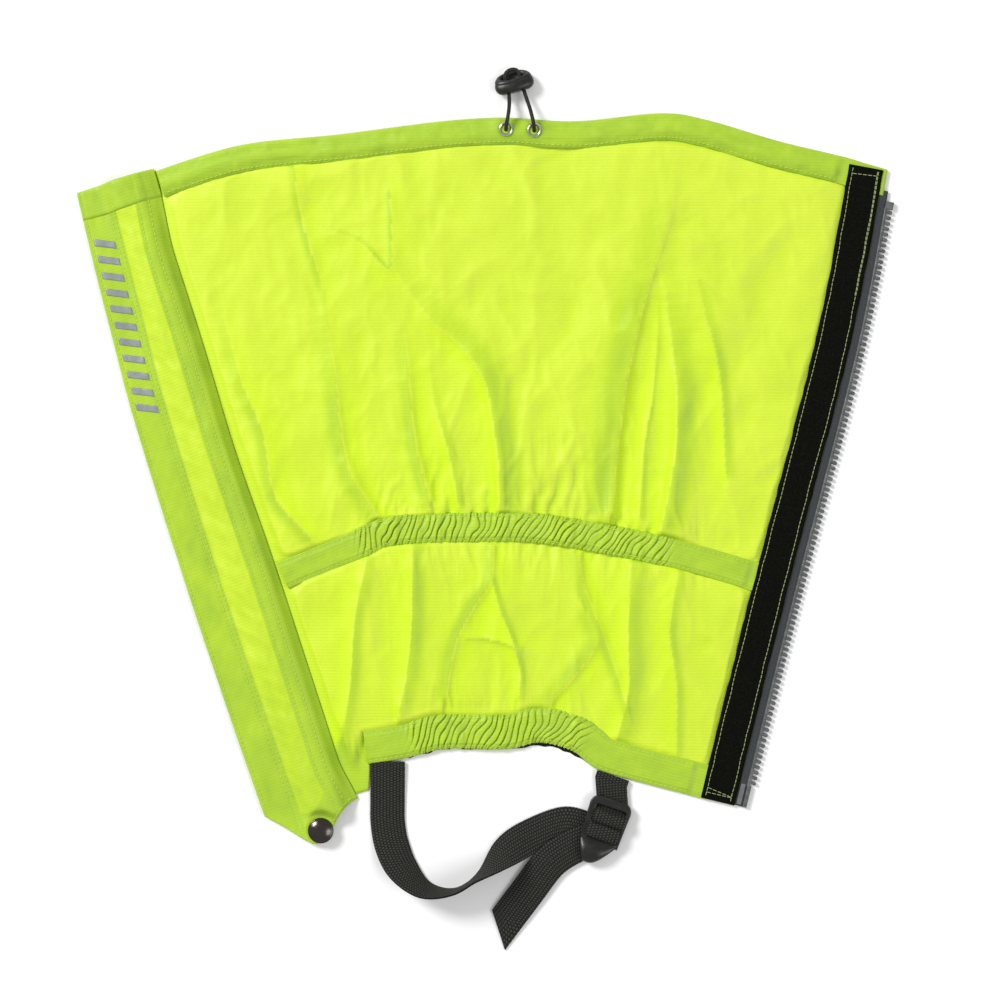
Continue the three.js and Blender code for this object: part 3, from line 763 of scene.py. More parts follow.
# Long folds of the laid cloth. Each is a crest, its height, and the reach of its left and right flanks.
UPPER_FOLDS = [
    ([(9.6, 15.7), (9, 40), (6, 60), (1, 87), (-13, 108), (-31, 124), (-50, 150)], 3.4, 3.0, 19),
    ([(74.5, 15.7), (77.4, 47.6), (82, 82.4), (88.5, 114.3), (96.6, 146.2), (108, 184), (112.8, 221.6)],
     4.4, 24, 3.4),
    ([(103.5, 4), (110.5, 41.8), (112.2, 70.8), (109.3, 108.5), (103.5, 152)], 4.0, 3.2, 20),
    ([(90.8, 12.8), (93.7, 53.4), (97.7, 76.6), (101.2, 117.2), (100, 140.4)], 1.8, 3.0, 3.0),
    ([(-32.8, 24.4), (-39.7, 53.4), (-42.6, 82.4), (-45.5, 111.4), (-49.6, 134.6)], 2.6, 10, 4.0),
    ([(-62.9, 11.6), (-77.4, 36), (-83.2, 65), (-86.1, 94), (-93.7, 131.7)], 2.8, 13, 4.0),
    ([(-109.3, 207), (-103.5, 175.2), (-92, 137.5), (-89, 118)], 1.3, 3.5, 6.0),
    ([(-54, 192.6), (-53.1, 170), (-55, 152), (-72, 168), (-98, 178)], 1.2, 4.0, 4.0),
    ([(-15, 20), (-20, 46), (-27, 70), (-31, 92)], 1.5, 4.0, 6.0),
    ([(140, 40), (137, 90), (128, 128), (124, 146), (134, 140)], 1.4, 8.0, 8.0),
    ([(-105, 2), (-121, 22), (-128, 58), (-142, 92), (-152, 132)], 1.5, 9.0, 5.0),
]
LOWER_FOLDS = [
    ([(-84.4, -128.2), (-77.4, -91.6), (-74.5, -52.8), (-67.6, -16.2)], 2.8, 3.0, 9.0),
    ([(-47.3, -97.4), (-44.4, -84.1), (-41.5, -52.8), (-40.9, -8.7)], 3.2, 3.0, 13),
    ([(-21.2, -91.6), (-18.3, -74.2), (-14.8, -60.9), (-4.9, -42.3), (3.8, -29.6), (5.5, -7.5)],
     2.4, 9.0, 3.0),
    ([(21.2, -91.6), (21.2, -80), (16.5, -62.6), (9.6, -45.2), (5.5, -30.7)], 2.2, 3.0, 6.0),
    ([(34.5, -101.5), (50.2, -85.8), (65.8, -64.4), (61.8, -51)], 2.8, 11, 3.0),
    ([(82.1, -97.4), (73.4, -71.3), (66.4, -52.8), (58.9, -33.6), (54.8, -16.2)], 2.8, 8.0, 3.6),
    ([(77.4, -118.9), (83.8, -91.6), (83.8, -62.6), (85, -23.8)], 3.2, 3.0, 16),
    ([(-7.8, -60.9), (6.7, -62.6), (19.4, -66.7)], 1.4, 2.4, 3.0),
    ([(112, -122), (112, -90), (108, -58), (112, -28)], 1.3, 7.0, 7.0),
]


def laid_fold(places, fold, shares):
    """Height, painted shade on the face and painted bounced light in the hollow of one fold; shares scale it
    at start, middle and end.
    """
    crest, height, left, right = fold
    line = Line(crest, fine=7)
    ways = line.ahead(line.reach)
    gap = places[:, :, None] - line.dense
    nearest = (gap ** 2).sum(-1).argmin(-1)
    away = np.take_along_axis(gap, nearest[..., None, None], 2)[:, :, 0]
    way = ways[nearest]
    side = way[..., 0] * away[..., 1] - way[..., 1] * away[..., 0]
    beyond = np.maximum(np.abs((way * away).sum(-1)) - line.length / len(line.dense), 0)
    distance = np.hypot(side, beyond)
    share = np.interp(line.reach[nearest] / line.length, [0, 0.5, 1], shares)
    rise = height * share * np.exp(-((distance / np.where(side > 0, left, right)) ** 1.25))
    wide, gentle = max(left, right), (side > 0) == (left > right)
    # face is painted shade on the gentle flank; hollow is painted bounced light beside the steep flank.
    face = share * gentle * np.exp(-((distance / (0.66 * wide)) ** 4))
    hollow = share * ~gentle * np.exp(-distance / 8) * smoothstep(distance, 0.5, 3)
    return np.stack([rise, face, hollow])


def crumpled(x, y, seed):
    """Creases that meet at corners, as in handled cloth, from 0 to 1."""
    bend_x, bend_y = x + 0.35 * noise(x, y, seed + 7), y + 0.35 * noise(x, y, seed + 8)
    return 1 - 1.6 * np.abs(rough(bend_x, bend_y, seed, 2))


def relax(points, springs, fixed, ceiling, rounds):
    """Lets a grid of cloth find its folds: springs are (row step, column step, lengths, stiffness)."""
    held, drift = points.copy(), np.zeros_like(points)
    rows, columns = points.shape[:2]
    for _ in range(rounds):
        push = np.zeros_like(points)
        for down, right, lengths, stiffness in springs:
            near = (slice(0, rows - down), slice(max(0, -right), columns - max(0, right)))
            far = (slice(down, rows), slice(max(0, right), columns + min(0, right)))
            gap = points[far] - points[near]
            long = np.sqrt((gap * gap).sum(-1))
            pull = gap * (stiffness * 0.5 * (long - lengths) / long)[..., None]
            push[near] += pull
            push[far] -= pull
        drift = 0.86 * drift + 0.32 * push
        points = points + drift
        points[..., 2] = np.clip(points[..., 2], CLOTH_LOWEST, ceiling)
        points[fixed] = held[fixed]
    return points


def fold_shell(places):
    """The flat shell with long folds, and the small ones that its two gathered lines throw into it."""
    rows, columns = places.shape[:2]
    row = np.arange(rows)[:, None]
    share = np.linspace(0, 1, columns)[None]
    x, y = places[..., 0], places[..., 1]
    ankle_row, top_row = SECTION_ROWS[0], rows - 1
    low = row / ankle_row
    high = (row - ankle_row) / (top_row - ankle_row)
    left = left_of_seam(places)
    from_ankle = np.where(row < ankle_row, (1 - low) * 115, high * 235)
    from_tape = np.interp(y, LOOP_LINE.dense[:, 1], LOOP_LINE.dense[:, 0]) - TAPE_HALF - x
    fixed = (from_ankle < 6.5) | (row > top_row - 10) | (row < 6) | (-left < 2.5) | (from_tape < 0.5)
    lid = 9 * smoothstep(from_ankle, 6, 13) * smoothstep(row, 5, 11) * smoothstep(top_row - row, 10, 20)
    from_hem_end = np.hypot(x + 65, y + 131)
    lid = lid * smoothstep(-left, 2, 14) * smoothstep(from_tape, 0, 12)
    lid = 0.9 + lid * smoothstep(from_hem_end, 5, 16)

    upper = np.array([laid_fold(places, fold, (1.0, 1.0, 0.15)) for fold in UPPER_FOLDS])
    lower = np.array([laid_fold(places, fold, (0.8, 1.0, 0.8)) for fold in LOWER_FOLDS])
    folds = np.where(row >= ankle_row, upper.sum(axis=0), lower.sum(axis=0))
    face, hollow = np.where(row >= ankle_row, upper.max(axis=0), lower.max(axis=0))[1:]
    lumps = 0.9 * rough(x / 70, y / 80, 9) + 1.3 * crumpled(x / 46, y / 60, 12)
    lumps = lumps + 0.55 * crumpled(x / 19, y / 26, 14)
    start = np.dstack([places, np.clip(1.7 + folds[0] + lumps, 0.6, lid)])
    start[..., 2][fixed] = 0.85

    gathered_ankle = smoothstep(share, 0.14, 0.24) * (1 - smoothstep(share, 0.74, 0.83))
    gathered_hem = smoothstep(share, 0.10, 0.20) * (1 - smoothstep(share, 0.56, 0.68))
    above = 0.11 * gathered_ankle * np.exp(-np.maximum(high, 0) * 8.0)
    below = gathered_ankle * np.exp(-(1 - low) * 8) + gathered_hem * np.exp(-np.maximum(low, 0) * 8)
    spare = np.where(row >= ankle_row, above, 0.08 * below)

    def spring(down, right, stiffness):
        near = start[0:rows - down, max(0, -right):columns - max(0, right)]
        far = start[down:rows, max(0, right):columns + min(0, right)]
        gap = (far - near) * [1, 1, 0.9]
        if right:
            gap[..., 0] *= 1 + spare[:near.shape[0], :near.shape[1]]
        return down, right, np.sqrt((gap * gap).sum(-1)), stiffness

    springs = [spring(0, 1, 1.0), spring(1, 0, 1.0), spring(1, 1, 0.35), spring(1, -1, 0.35),
               spring(0, 2, 0.22), spring(2, 0, 0.25), spring(0, 4, 0.08), spring(4, 0, 0.14)]
    gathers = noise(share * 34 + 0.4 * noise(share * 9, row / 30, 5), row / 50, 2)
    start[..., 2] = np.where(fixed, 0.85, np.minimum(start[..., 2] + 0.7 * gathers * (spare > 0.01), lid))
    return relax(start, springs, fixed, lid, 220), face, hollow


def averaged(values, rounds):
    """Values on a grid, blurred by that many passes over their neighbours."""
    for _ in range(rounds):
        wide = np.pad(values, 1, mode="edge")
        values = (wide[:-2, 1:-1] + wide[2:, 1:-1] + wide[1:-1, :-2] + wide[1:-1, 2:]) / 4
    return values


def add_shell():
    places = shell_places()
    points, face, hollow = fold_shell(places)
    x, y = places[..., 0], places[..., 1]
    crisp = 0.16 * rough(x / 9, y / 14, 21, 3) + 0.24 * crumpled(x / 12, y / 16, 24)
    calm = smoothstep(points[..., 2], 0.7, 1.6)
    points[..., 2] = np.maximum(points[..., 2] + crisp * calm, CLOTH_LOWEST)
    normal = np.abs(grid_normals(points)[..., 2])
    steep = np.clip(1 / np.maximum(normal, 0.25) - 1, 0, 1.5)
    dip = averaged(points[..., 2], 40) - points[..., 2]
    sewn = (1 - smoothstep(x, -64.6, -64.0)) * smoothstep(-y - 0.5 * (x + 66), 127, 130)
    # Painted shade: steep flanks, dips, fold faces and the doubled cloth of the sewn corner are marked darker
    # and greener. The cloth is also a little darker towards the bottom, below the ankle.
    layers = 0.06 + 0.14 * steep + 0.10 * dip + 0.05 * rough(x / 22, y / 50, 40, 3) + 0.42 * face
    layers = (layers + 0.05 * smoothstep(-y, 10, 40)) * (1 - sewn) + 0.57 * sewn
    low_down = 1 - smoothstep(y, 60, 190)
    # Painted bounced light in the hollows beside folds and in dips; the lower part is also marked more
    # saturated yellow.
    glow = (0.5 + 0.5 * low_down) * hollow + 0.12 * low_down + 0.2 * np.clip(dip, 0, 1)
    marks = {"layers": np.clip(layers, 0, 1), "glow": np.clip(glow * (1 - face), 0, 1)}
    shell = sheet_piece("shell_fabric_sheet", points, places, marks)
    finish_piece(shell, SHELL_FABRIC, "panel", ["body_panel"])


add_shell()

# ---- hems and casings ----

def round_edge(distance, radius):
    """0 at an edge, 1 from radius inwards, with a round shoulder."""
    inside = np.clip(distance / radius, 0, 1)
    return np.sqrt(np.maximum(1 - (1 - inside) ** 2, 0))


def top_hem_surface(s, t):
    """The folded top edge, t from 0 at the fold to 15.4 at its stitching."""
    place = TOP_EDGE.beside(s, -t)
    place[..., 0] += smoothstep(s, TOP_EDGE.length - 14, TOP_EDGE.length) * (2.6 + 0.16 * t)
    cord = 1.3 * hump(t, 9.5, 4.0) * (1 + 0.4 * noise(s / 17, 0, 4))
    near = sum(np.exp(-(((place[..., 0] - x) ** 2 + (place[..., 1] - y) ** 2) / 64) ** 1.5)
               for x, y in EYELETS.values())
    puff = 2.6 + 0.6 * noise(s / 26, t / 9, 6) + 0.4 * rough(s / 6.5, t / 7, 8)
    pucker = 0.34 * np.abs(np.sin(s * math.pi / 5.3 + 2 * noise(s / 9, 0, 3))) * hump(t, 14, 2.2)
    over_cord = 3.75 * np.exp(-(((t - 8.6) / 3.8) ** 4))
    near = np.clip(near, 0, 1)
    height = np.maximum(puff + cord, over_cord) * (1 - near) + (HOLE_TOP - HEM_FLOOR) * near
    height = height * (0.25 + 0.75 * round_edge(np.minimum(t, 15.9 - t), 2.4)) - pucker
    flat = smoothstep(s, TOP_EDGE.length - 29, TOP_EDGE.length - 23)
    height = height * (1 - flat) + UNDER_TAPE * flat
    return place, HEM_FLOOR + np.maximum(height, 0.35)


def add_top_hem():
    s, t = spread((1.2, TOP_EDGE.length - 0.5, 340), (-0.2, 15.6, 26))
    place, top = top_hem_surface(s, t)
    near = np.minimum.reduce([np.hypot(place[..., 0] - x, place[..., 1] - y) for x, y in EYELETS.values()])
    # Painted shade: darker where the cloth lies doubled, in a ring around each eyelet and along the
    # stitching.
    layers = 0.60 + 0.05 * rough(s / 12, t / 6, 50) + 0.1 * hump(near, 4.6, 1.2) + 0.08 * hump(t, 13.9, 0.7)
    hem = pillow_piece("top_hem_sleeve", place, top, 0.75, place, {"layers": layers})
    finish_piece(hem, SHELL_FABRIC, "panel", ["top_hem"])
    return [(lambda s: lifted(*top_hem_surface(s, np.full_like(s, 13.9))), 3.0, TOP_EDGE.length - 25)]


RUCHE = 3.9  # one gather to the next
RUCHE_LEAN = -0.55


def ruched_surface(curve, s, t, half, gathered, height, seed, tuck):
    """A gathered sleeve around elastic: t runs from -half to half across it."""
    full = smoothstep(s, gathered[0], gathered[0] + 14)
    full = full * (1 - smoothstep(s, gathered[1] - 8, gathered[1] + 4))
    wander = 2.6 * noise(s / 15, t / 13, seed) + 1.5 * noise(s / 6, t / 8, seed + 1)
    phase = (s + RUCHE_LEAN * t + wander) / RUCHE
    fold = np.minimum(np.abs(np.sin(math.pi * phase)) * 1.7, 1) ** 0.8
    second = np.abs(np.sin(math.pi * (phase * 1.9 + 0.3 * noise(s / 5, t / 5, seed + 2)))) ** 0.9
    near_edge = smoothstep(np.abs(t), half - 3.6, half - 0.6)
    fold = fold * (1 - 0.45 * near_edge) + 0.45 * near_edge * second
    strength = 0.68 + 0.32 * noise(s / 4.2, t / 30, seed + 3)
    sewn = 0.55 * hump(np.abs(t), half - 1.9, 0.8)
    shoulder = 0.16 + 0.84 * round_edge(half + 0.1 - np.abs(t), 2.6)
    plain = height * 0.62 + 0.25 * rough(s / 9, t / 7, seed + 4)
    crisp = 0.35 * rough(s / 2.6, t / 5, seed + 6, 2)
    gathered_height = height * (0.46 + 0.5 * fold * strength) + crisp
    flat = smoothstep(s, tuck - 5, tuck)
    top = (plain * (1 - full) + gathered_height * full) * shoulder - sewn
    top = HEM_FLOOR + top * (1 - flat) + UNDER_TAPE * flat
    spread = 0.55 * full * np.sign(t) * smoothstep(np.abs(t), half - 3, half) * (fold - 0.5) * 2
    sway = 0.5 * full * (fold - 0.5)
    # Painted shade: darker where the sleeve's cloth lies doubled, deeper in the gather valleys and along the
    # stitching, lighter on the gather crests.
    layers = 0.57 + 0.05 * rough(s / 7, t / 5, seed + 5)
    deep = 0.36 + 0.2 * noise(s / 3.3, t / 20, seed + 9)
    layers = layers + full * (deep * (1 - fold) ** 1.5 - 0.10 * fold * strength)
    layers = layers + 0.08 * hump(np.abs(t), half - 1.9, 0.7)
    return curve.beside(s + sway, t + spread), np.maximum(top, HEM_FLOOR + 0.25), layers


UNDER_TAPE = 1.2  # how thick a hem is where the loop tape is sewn over it
ANKLE_BAND = {"half": 8.3, "gathered": (42, 234), "height": 4.4, "seed": 60,
              "tuck": ANKLE_LINE.length - 23}
HEM_BAND = {"half": 9.9, "gathered": (20, 131), "height": 4.4, "seed": 80, "tuck": HEM_EDGE.length - 22}


def add_ruched(name, curve, start, stop, offset, band, node, columns):
    s, t = spread((start, stop, columns), (-band["half"], band["half"], 40))
    moved = Line(curve.beside(np.linspace(0, curve.length, 60), offset))
    place, top, layers = ruched_surface(moved, s, t, **band)
    made = pillow_piece(name, place, top, 0.6, np.dstack([s, t]), {"layers": layers})
    finish_piece(made, SHELL_FABRIC, "panel", [node])

    def sewing(t):
        return lambda s: lifted(*ruched_surface(moved, s, np.full_like(s, t), **band))
    inset = band["half"] - 1.9
    last = band["tuck"] - 3
    return moved, [(sewing(inset), start + 1, last), (sewing(-inset), start + 1, last)]


def add_elastic(name, curve, start, stop, half, node):
    """The flat elastic inside a gathered sleeve."""
    s = np.linspace(start, stop, 160)
    section = rounded_box(half, 0.45, 0.25)
    height = 1.75 + 0.08 * noise(s / 3, 0, 7)
    points, faces = swept_level(lifted(curve.at(s), height), curve.ahead(s), section)
    uv = np.stack([np.tile(section[:, 0], len(s)), np.repeat(s, len(section))], axis=1)
    made = build(name, points, faces, uv, soften=50)
    finish_piece(made, ELASTIC, "panel", [node])


def add_hems():
    sewn = add_top_hem()
    ankle_length = ANKLE_LINE.length
    ankle, ankle_rows = add_ruched("ankle_casing_sleeve", ANKLE_LINE, 1.5, ankle_length - 17, 0,
                                   ANKLE_BAND, "ankle_casing", 760)
    hem, hem_rows = add_ruched("bottom_hem_sleeve", HEM_EDGE, 0.2, HEM_EDGE.length - 13, 10.0,
                               HEM_BAND, "bottom_hem", 640)
    add_elastic("ankle_elastic_band", ankle, 44, 232, 6.2, "ankle_elastic")
    add_elastic("hem_elastic_band", hem, 20, 120, 7.2, "hem_elastic")
    threads = stitches(sewn + ankle_rows + hem_rows)
    finish_piece(build("hem_threads", *threads), SHELL_THREAD, "panel")


def add_hem_backing():
    """The black edge tape behind the hem, which peeks out below it."""
    s, t = spread((24, 132, 150), (0, 1, 6))
    peek = (0.2 + 1.5 * hump(s, 36, 3) + 1.9 * smoothstep(s, 84, 98) * (1 - smoothstep(s, 122, 132))
            + 0.5 * noise(s / 4, 0, 12) + 0.5 * hump(s, 64, 8))
    place = HEM_EDGE.beside(s, 3 - (3 + np.clip(peek, 0.1, 2.6)) * t)
    top = 0.75 - 0.3 * t ** 4 + 0.05 * noise(s / 2, t * 3, 14)
    made = pillow_piece("hem_backing_edge", place, top, 0.08, np.dstack([s, t * 5]))
    finish_piece(made, EDGE_TAPE, "panel", ["hem_backing_tape"])


add_hems()
add_hem_backing()

# ---- touch fastener and the panel's half of the zip ----

def tape_surface(s, t):
    """Upper face of the loop tape."""
    lift = 0.35 * noise(s / 40, t / 30, 90) + 0.12 * rough(s / 2.5, t / 2.5, 92, 2)
    edge = round_edge(TAPE_HALF - np.abs(t), 0.8)
    sewn = 0.35 * hump(np.abs(t), TAPE_HALF - 2.6, 0.6)
    return LOOP_LINE.beside(s, t), 2.0 + (1.0 + lift) * edge - sewn


def add_loop_tape():
    length = LOOP_LINE.length
    s, t = spread((0.5, length - 0.5, 420), (-TAPE_HALF, TAPE_HALF, 31))
    top = tape_surface(s, t)[1]
    wobble = 0.25 * noise(s / 6, 0, 95) * np.sign(t) * smoothstep(np.abs(t), 9, 10)
    place = LOOP_LINE.beside(s, t + wobble)
    made = pillow_piece("loop_tape_pile", place, top, 1.0, np.dstack([t, s]))
    finish_piece(made, LOOP_PILE, "panel", ["loop_tape"])

    def along(offset, drift):
        def place_at(s):
            wander = drift * noise(s / 60, offset, 97) + 0.3 * noise(s / 7, offset, 98)
            return lifted(*tape_surface(s, offset + wander))
        return place_at

    def across(at, lean):
        return lambda t: lifted(*tape_surface(at + lean * t, t))
    inset = TAPE_HALF - 2.6
    rows = [(along(inset, 0.5), 2, length - 2), (along(-inset, 0.5), 2, length - 2)]
    rows.append((along(-inset + 0.7, 0.9), length - 75, length - 2))
    for at, lean in ((4.5, 0.0), (6.0, 0.16), (length - 5.0, -0.06)):
        rows.append((across(at, lean), -inset, inset))
    threads = build("loop_tape_threads", *stitches(rows, pitch=2.7, length=2.45, radius=0.19))
    finish_piece(threads, PALE_THREAD, "panel")


TOOTH_PITCH = 3.2
# A tooth's rings from its root out: distance, half width, half height.
TOOTH = [(0.0, 0.85, 1.25), (0.4, 0.8, 1.3), (1.2, 0.66, 1.2), (2.0, 0.68, 1.1), (2.7, 0.95, 1.15),
         (3.3, 1.05, 1.15), (3.9, 0.95, 1.0), (4.3, 0.5, 0.5)]


def zip_teeth(place, heading, outward, first, last, root, middle):
    """A row of moulded teeth on its spine. place(s, t) is a flat point, outward the sign of t."""
    section = rounded_box(1, 1, 0.5, 3)[::-1]
    shape = np.array([[w * x, y, h * z] for y, w, h in TOOTH for x, z in section])
    number = int((last - first) / TOOTH_PITCH) + 1
    s = first + (np.arange(number) + 0.5) * (last - first) / number
    origin = lifted(place(s, root), middle)
    out = lifted(place(s, root + outward), middle) - origin
    up = np.tile([0, 0, 1.0], (number, 1))
    axes = np.stack([np.cross(out, up), out, up], axis=1)
    teeth = copies(shape, tube_faces(len(TOOTH), len(section)), origin, axes)
    steps = np.linspace(first - 1, last + 1, 200)
    spine = lifted(place(steps, root + 0.3 * outward), middle)
    return joined([teeth, swept_level(spine, heading(steps), circle(1.0, 10))])


def add_right_zip():
    length = LOOP_LINE.length
    s, t = spread((1, length - 12, 260), (0, 1, 10))
    place = LOOP_LINE.beside(s, -8.8 - 6.2 * t)
    top = 1.75 + 0.15 * noise(s / 11, t, 101) + 0.06 * noise(s / 2.5, t * 3, 102)
    tape = pillow_piece("right_zip_cloth", place, top, 1.1, np.dstack([t * 6.2, s]))
    finish_piece(tape, ZIP_TAPE, "panel", ["right_zip_tape"])
    teeth = zip_teeth(LOOP_LINE.beside, LOOP_LINE.ahead, -1, 14, 356, -15.0, 1.5)
    made = build("right_zip_row", *teeth, soften=45)
    finish_piece(made, GREY_PLASTIC, "panel", ["right_zip_teeth"])


add_loop_tape()
add_right_zip()

# ---- storm flap ----

FLAP = {"top": 383.0, "width": 54.5}
SNAP = {"along": -11.4, "across": 26.0, "height": 5.0}
SEAM_LINES = (7.6, 13.4)  # rows of stitching, from the seam
EDGE_LINES = (1.9, 16.4, 18.9)  # rows of stitching, from the free edge
FLAP_TURN = (3.6, 14.5)  # two distances from the seam; bend_with_flap works out points at them but does not use them


def flap_width(along):
    return (FLAP["width"] + 2.2 * np.sin(math.pi * np.clip(along / 300, 0, 1))
            - 8 * np.maximum(0, (along - 250) / 134) ** 1.5)


def flap_foot(across):
    return 7.3 * (across / FLAP["width"]) ** 6 - 18.5 * hump(across, 29, 15.5)


def flap_surface(along, across):
    """Point on the flap's upper face; across is measured from the straight hinge line."""
    bow = seam_bow(along)
    over_zip = 5.7 + 1.3 * (1 - smoothstep(along, 16, 48))
    ridge = over_zip * np.exp(-(((across - 18.6) / 12) ** 4)) * smoothstep(along, -14, -3)
    to_snap = np.hypot(along - SNAP["along"], across - SNAP["across"])
    patch = 1 - smoothstep(to_snap, 9, 13)
    height = (2.9 + ridge) * (1 - patch) + SNAP["height"] * patch
    free = flap_width(along) - across
    wave = 0.5 * rough(along / 46, across / 30, 110, 2)
    wave = wave + 0.35 * rough(along / 15 + across / 25, across / 12, 120, 3)
    single = smoothstep(across - bow, 14, 18) * smoothstep(free, 18, 22)
    crease = 0.5 * rough(along / 9 - across / 9, across / 26 + along / 60, 130, 3) * single
    height = height + (wave + crease) * smoothstep(to_snap, 9, 20) * smoothstep(across - bow, 1, 12)
    sewn = sum(hump(across - bow, line, 0.9) for line in SEAM_LINES)
    sewn = sewn + sum(hump(free, line, 0.9) for line in EDGE_LINES)
    height = height - 0.28 * np.clip(sewn, 0, 1)
    height = 1.25 + (np.maximum(height, 1.6) - 1.25) * smoothstep(across - bow, -0.5, 4.5)
    return lifted(seam_point(along, across), height)


def bend_with_flap(made):
    """Bakes a piece's placement into its mesh; the two points it works out beside the seam are not used."""
    middle = SEAM_LENGTH / 2
    start, end = (packed(np.append(seam_point(middle, across), 4.5)) for across in FLAP_TURN)
    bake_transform(made)


def flap_grid(a_range, b_range, rows, columns):
    """Points along and across the flap, from shares of its length and width."""
    a, b = spread((*a_range, rows), (*b_range, columns))
    foot = flap_foot(b * FLAP["width"])
    along = foot + (FLAP["top"] - foot) * a
    bow = seam_bow(along)
    return along, bow + b * (flap_width(along) - bow)


def add_flap_cloth():
    along, across = flap_grid((0, 1), (0, 1), 330, 70)
    points = flap_surface(along, across)
    root, free = across - seam_bow(along), flap_width(along) - across
    b = root / np.maximum(root + free, 1)
    from_foot = along - flap_foot(b * FLAP["width"])
    # Painted shade: darker and greener where the cloth lies doubled, along the stitching and at the seam's
    # fold.
    doubled = np.maximum.reduce([1 - smoothstep(root, 15.0, 15.8), 1 - smoothstep(free, 20.0, 20.8),
                                 1 - smoothstep(from_foot, 18, 19)])
    # Darker towards the flap's foot.
    darker_near_foot = 0.15 * (1 - smoothstep(from_foot, 40, 150)) * (1 - doubled)
    layers = 0.24 + 0.32 * doubled + darker_near_foot + 0.07 * rough(along / 14, across / 8, 140)
    layers = layers + 0.07 * sum(hump(root, line, 0.6) for line in SEAM_LINES)
    layers = layers + 0.07 * sum(hump(free, line, 0.6) for line in EDGE_LINES) + 0.10 * hump(root, 0.3, 0.9)
    uv = np.dstack([across, along])
    made = sheet_piece("storm_flap_cloth", points, uv, {"layers": np.clip(layers, 0, 1)})
    finish_piece(made, SHELL_FABRIC, None, ["storm_flap"])
    bend_with_flap(made)


def add_flap_top_hem():
    along, across = flap_grid((0.957, 1.0), (0.0, 1.0), 14, 70)
    points = flap_surface(along, across)
    edge = np.minimum(along - along.min(axis=0), along.max(axis=0) - along)
    top = points[..., 2] + 0.12 + 0.5 * round_edge(edge + 0.05, 1.6)
    # Painted shade: darker where the cloth lies doubled.
    layers = 0.60 + 0.05 * rough(along / 6, across / 6, 150)
    uv = np.dstack([across, along])
    made = pillow_piece("flap_top_fold", points[..., :2], top, points[..., 2] - 0.1, uv, {"layers": layers})
    finish_piece(made, SHELL_FABRIC, None, ["flap_top_hem"])
    bend_with_flap(made)


def under_flap(name, a_range, b_range, drop, thickness, material, node, marks=None):
    along, across = flap_grid(a_range, b_range, 200, 20)
    points = flap_surface(along, across)
    top = points[..., 2] - drop
    texture = 0.12 * rough(along / 1.6, across / 1.6, 160, 2)
    made = pillow_piece(name, points[..., :2], top, top - thickness + texture, np.dstack([across, along]),
                        None if marks is None else {"layers": np.full(along.shape, marks)})
    finish_piece(made, material, "flap", [node])


def add_flap_threads():
    def beside_seam(offset):
        return lambda s: flap_surface(s, seam_bow(s) + offset)

    def beside_edge(offset):
        return lambda s: flap_surface(s, flap_width(s) - offset)

    def foot_line(distance):
        b = distance / FLAP["width"]
        along = flap_foot(distance) + 2.0
        return flap_surface(along, seam_bow(along) + b * (flap_width(along) - seam_bow(along)))
    rows = [(beside_seam(line), 2, 379) for line in SEAM_LINES]
    rows += [(beside_edge(line), 12, 379) for line in EDGE_LINES]
    rows.append((foot_line, 3, 52))
    rows.append((lambda d: flap_surface(np.full_like(d, FLAP["top"] - 14.5), d), 3, 46))
    made = build("flap_threads", *stitches(rows))
    finish_piece(made, SHELL_THREAD)
    bend_with_flap(made)


def add_reflective_motif():
    """A row of plain slanted bars, in the place of a print."""
    parts = []
    for number in range(11):
        along, free = spread((0, 4.2, 7), (15.2, 3.2, 13))
        along = 254 + number * 9.8 + along - 0.45 * free
        across = flap_width(along) - free
        points = flap_surface(along, across)
        uv = np.dstack([across, along]).reshape(-1, 2)
        body = closed_sheet(points + [0, 0, 0.22], points + [0, 0, 0.02])
        parts.append((*body, np.concatenate([uv, uv])))
    made = build("reflective_bars", *joined(parts))
    finish_piece(made, REFLECTIVE, "flap", ["reflective_strip"])


def add_snap():
    middle = np.append(seam_point(SNAP["along"], SNAP["across"]), SNAP["height"] + 0.1)
    profile = [(0, 0.2), (6.4, 0.2), (7.2, 0.35), (7.45, 0.8), (7.3, 1.3), (6.8, 1.55), (6.45, 1.5),
               (6.1, 1.75), (5.2, 2.25), (3.9, 2.75), (2.4, 3.1), (1.0, 3.26), (0, 3.3)]
    points, faces = lathe(profile, 64)
    cap = build("snap_cap_dome", points + middle, faces)
    finish_piece(cap, DARK_NICKEL, "flap", ["snap_cap"])


add_flap_cloth()
add_flap_top_hem()
# Painted shade: the edge underlay is marked as doubled cloth.
under_flap("flap_edge_underlay", (0.05, 0.957), (0.63, 0.985), 0.5, 0.35, SHELL_FABRIC,
           "flap_edge_facing", 0.6)
under_flap("hook_tape_hooks", (0.07, 0.95), (0.655, 0.975), 0.9, 1.2, HOOK_PILE,
           "hook_tape")
add_flap_threads()
add_reflective_motif()
add_snap()


def add_left_zip():
    s, t = spread((1, 374, 260), (0, 1, 14))
    start = seam_bow(s) + 0.4
    place = seam_point(s, start + (13.2 - start) * t)
    top = 1.0 + 2.0 * smoothstep(t, 0, 0.8) + 0.12 * noise(s / 9, t * 2, 103)
    uv = np.dstack([t * 13, s])
    tape = pillow_piece("left_zip_cloth", place, top, top - 0.6, uv)
    finish_piece(tape, ZIP_TAPE, "panel", ["left_zip_tape"])
    end = slice(0, np.count_nonzero(s[:, 0] < 12)), slice(3, 12)
    film = pillow_piece("left_tape_end_film", place[end], top[end] + 0.14, top[end] - 0.05, uv[end])
    finish_piece(film, FILM, "panel", ["left_tape_film"])

    def heading(steps):
        return np.tile(SEAM_ALONG, (len(steps), 1))
    made = build("left_zip_row", *zip_teeth(seam_point, heading, 1, 8.4, 366, 13.2, 2.9), soften=45)
    finish_piece(made, GREY_PLASTIC, "panel", ["left_zip_teeth"])


add_left_zip()

# ---- stirrup strap and buckle ----

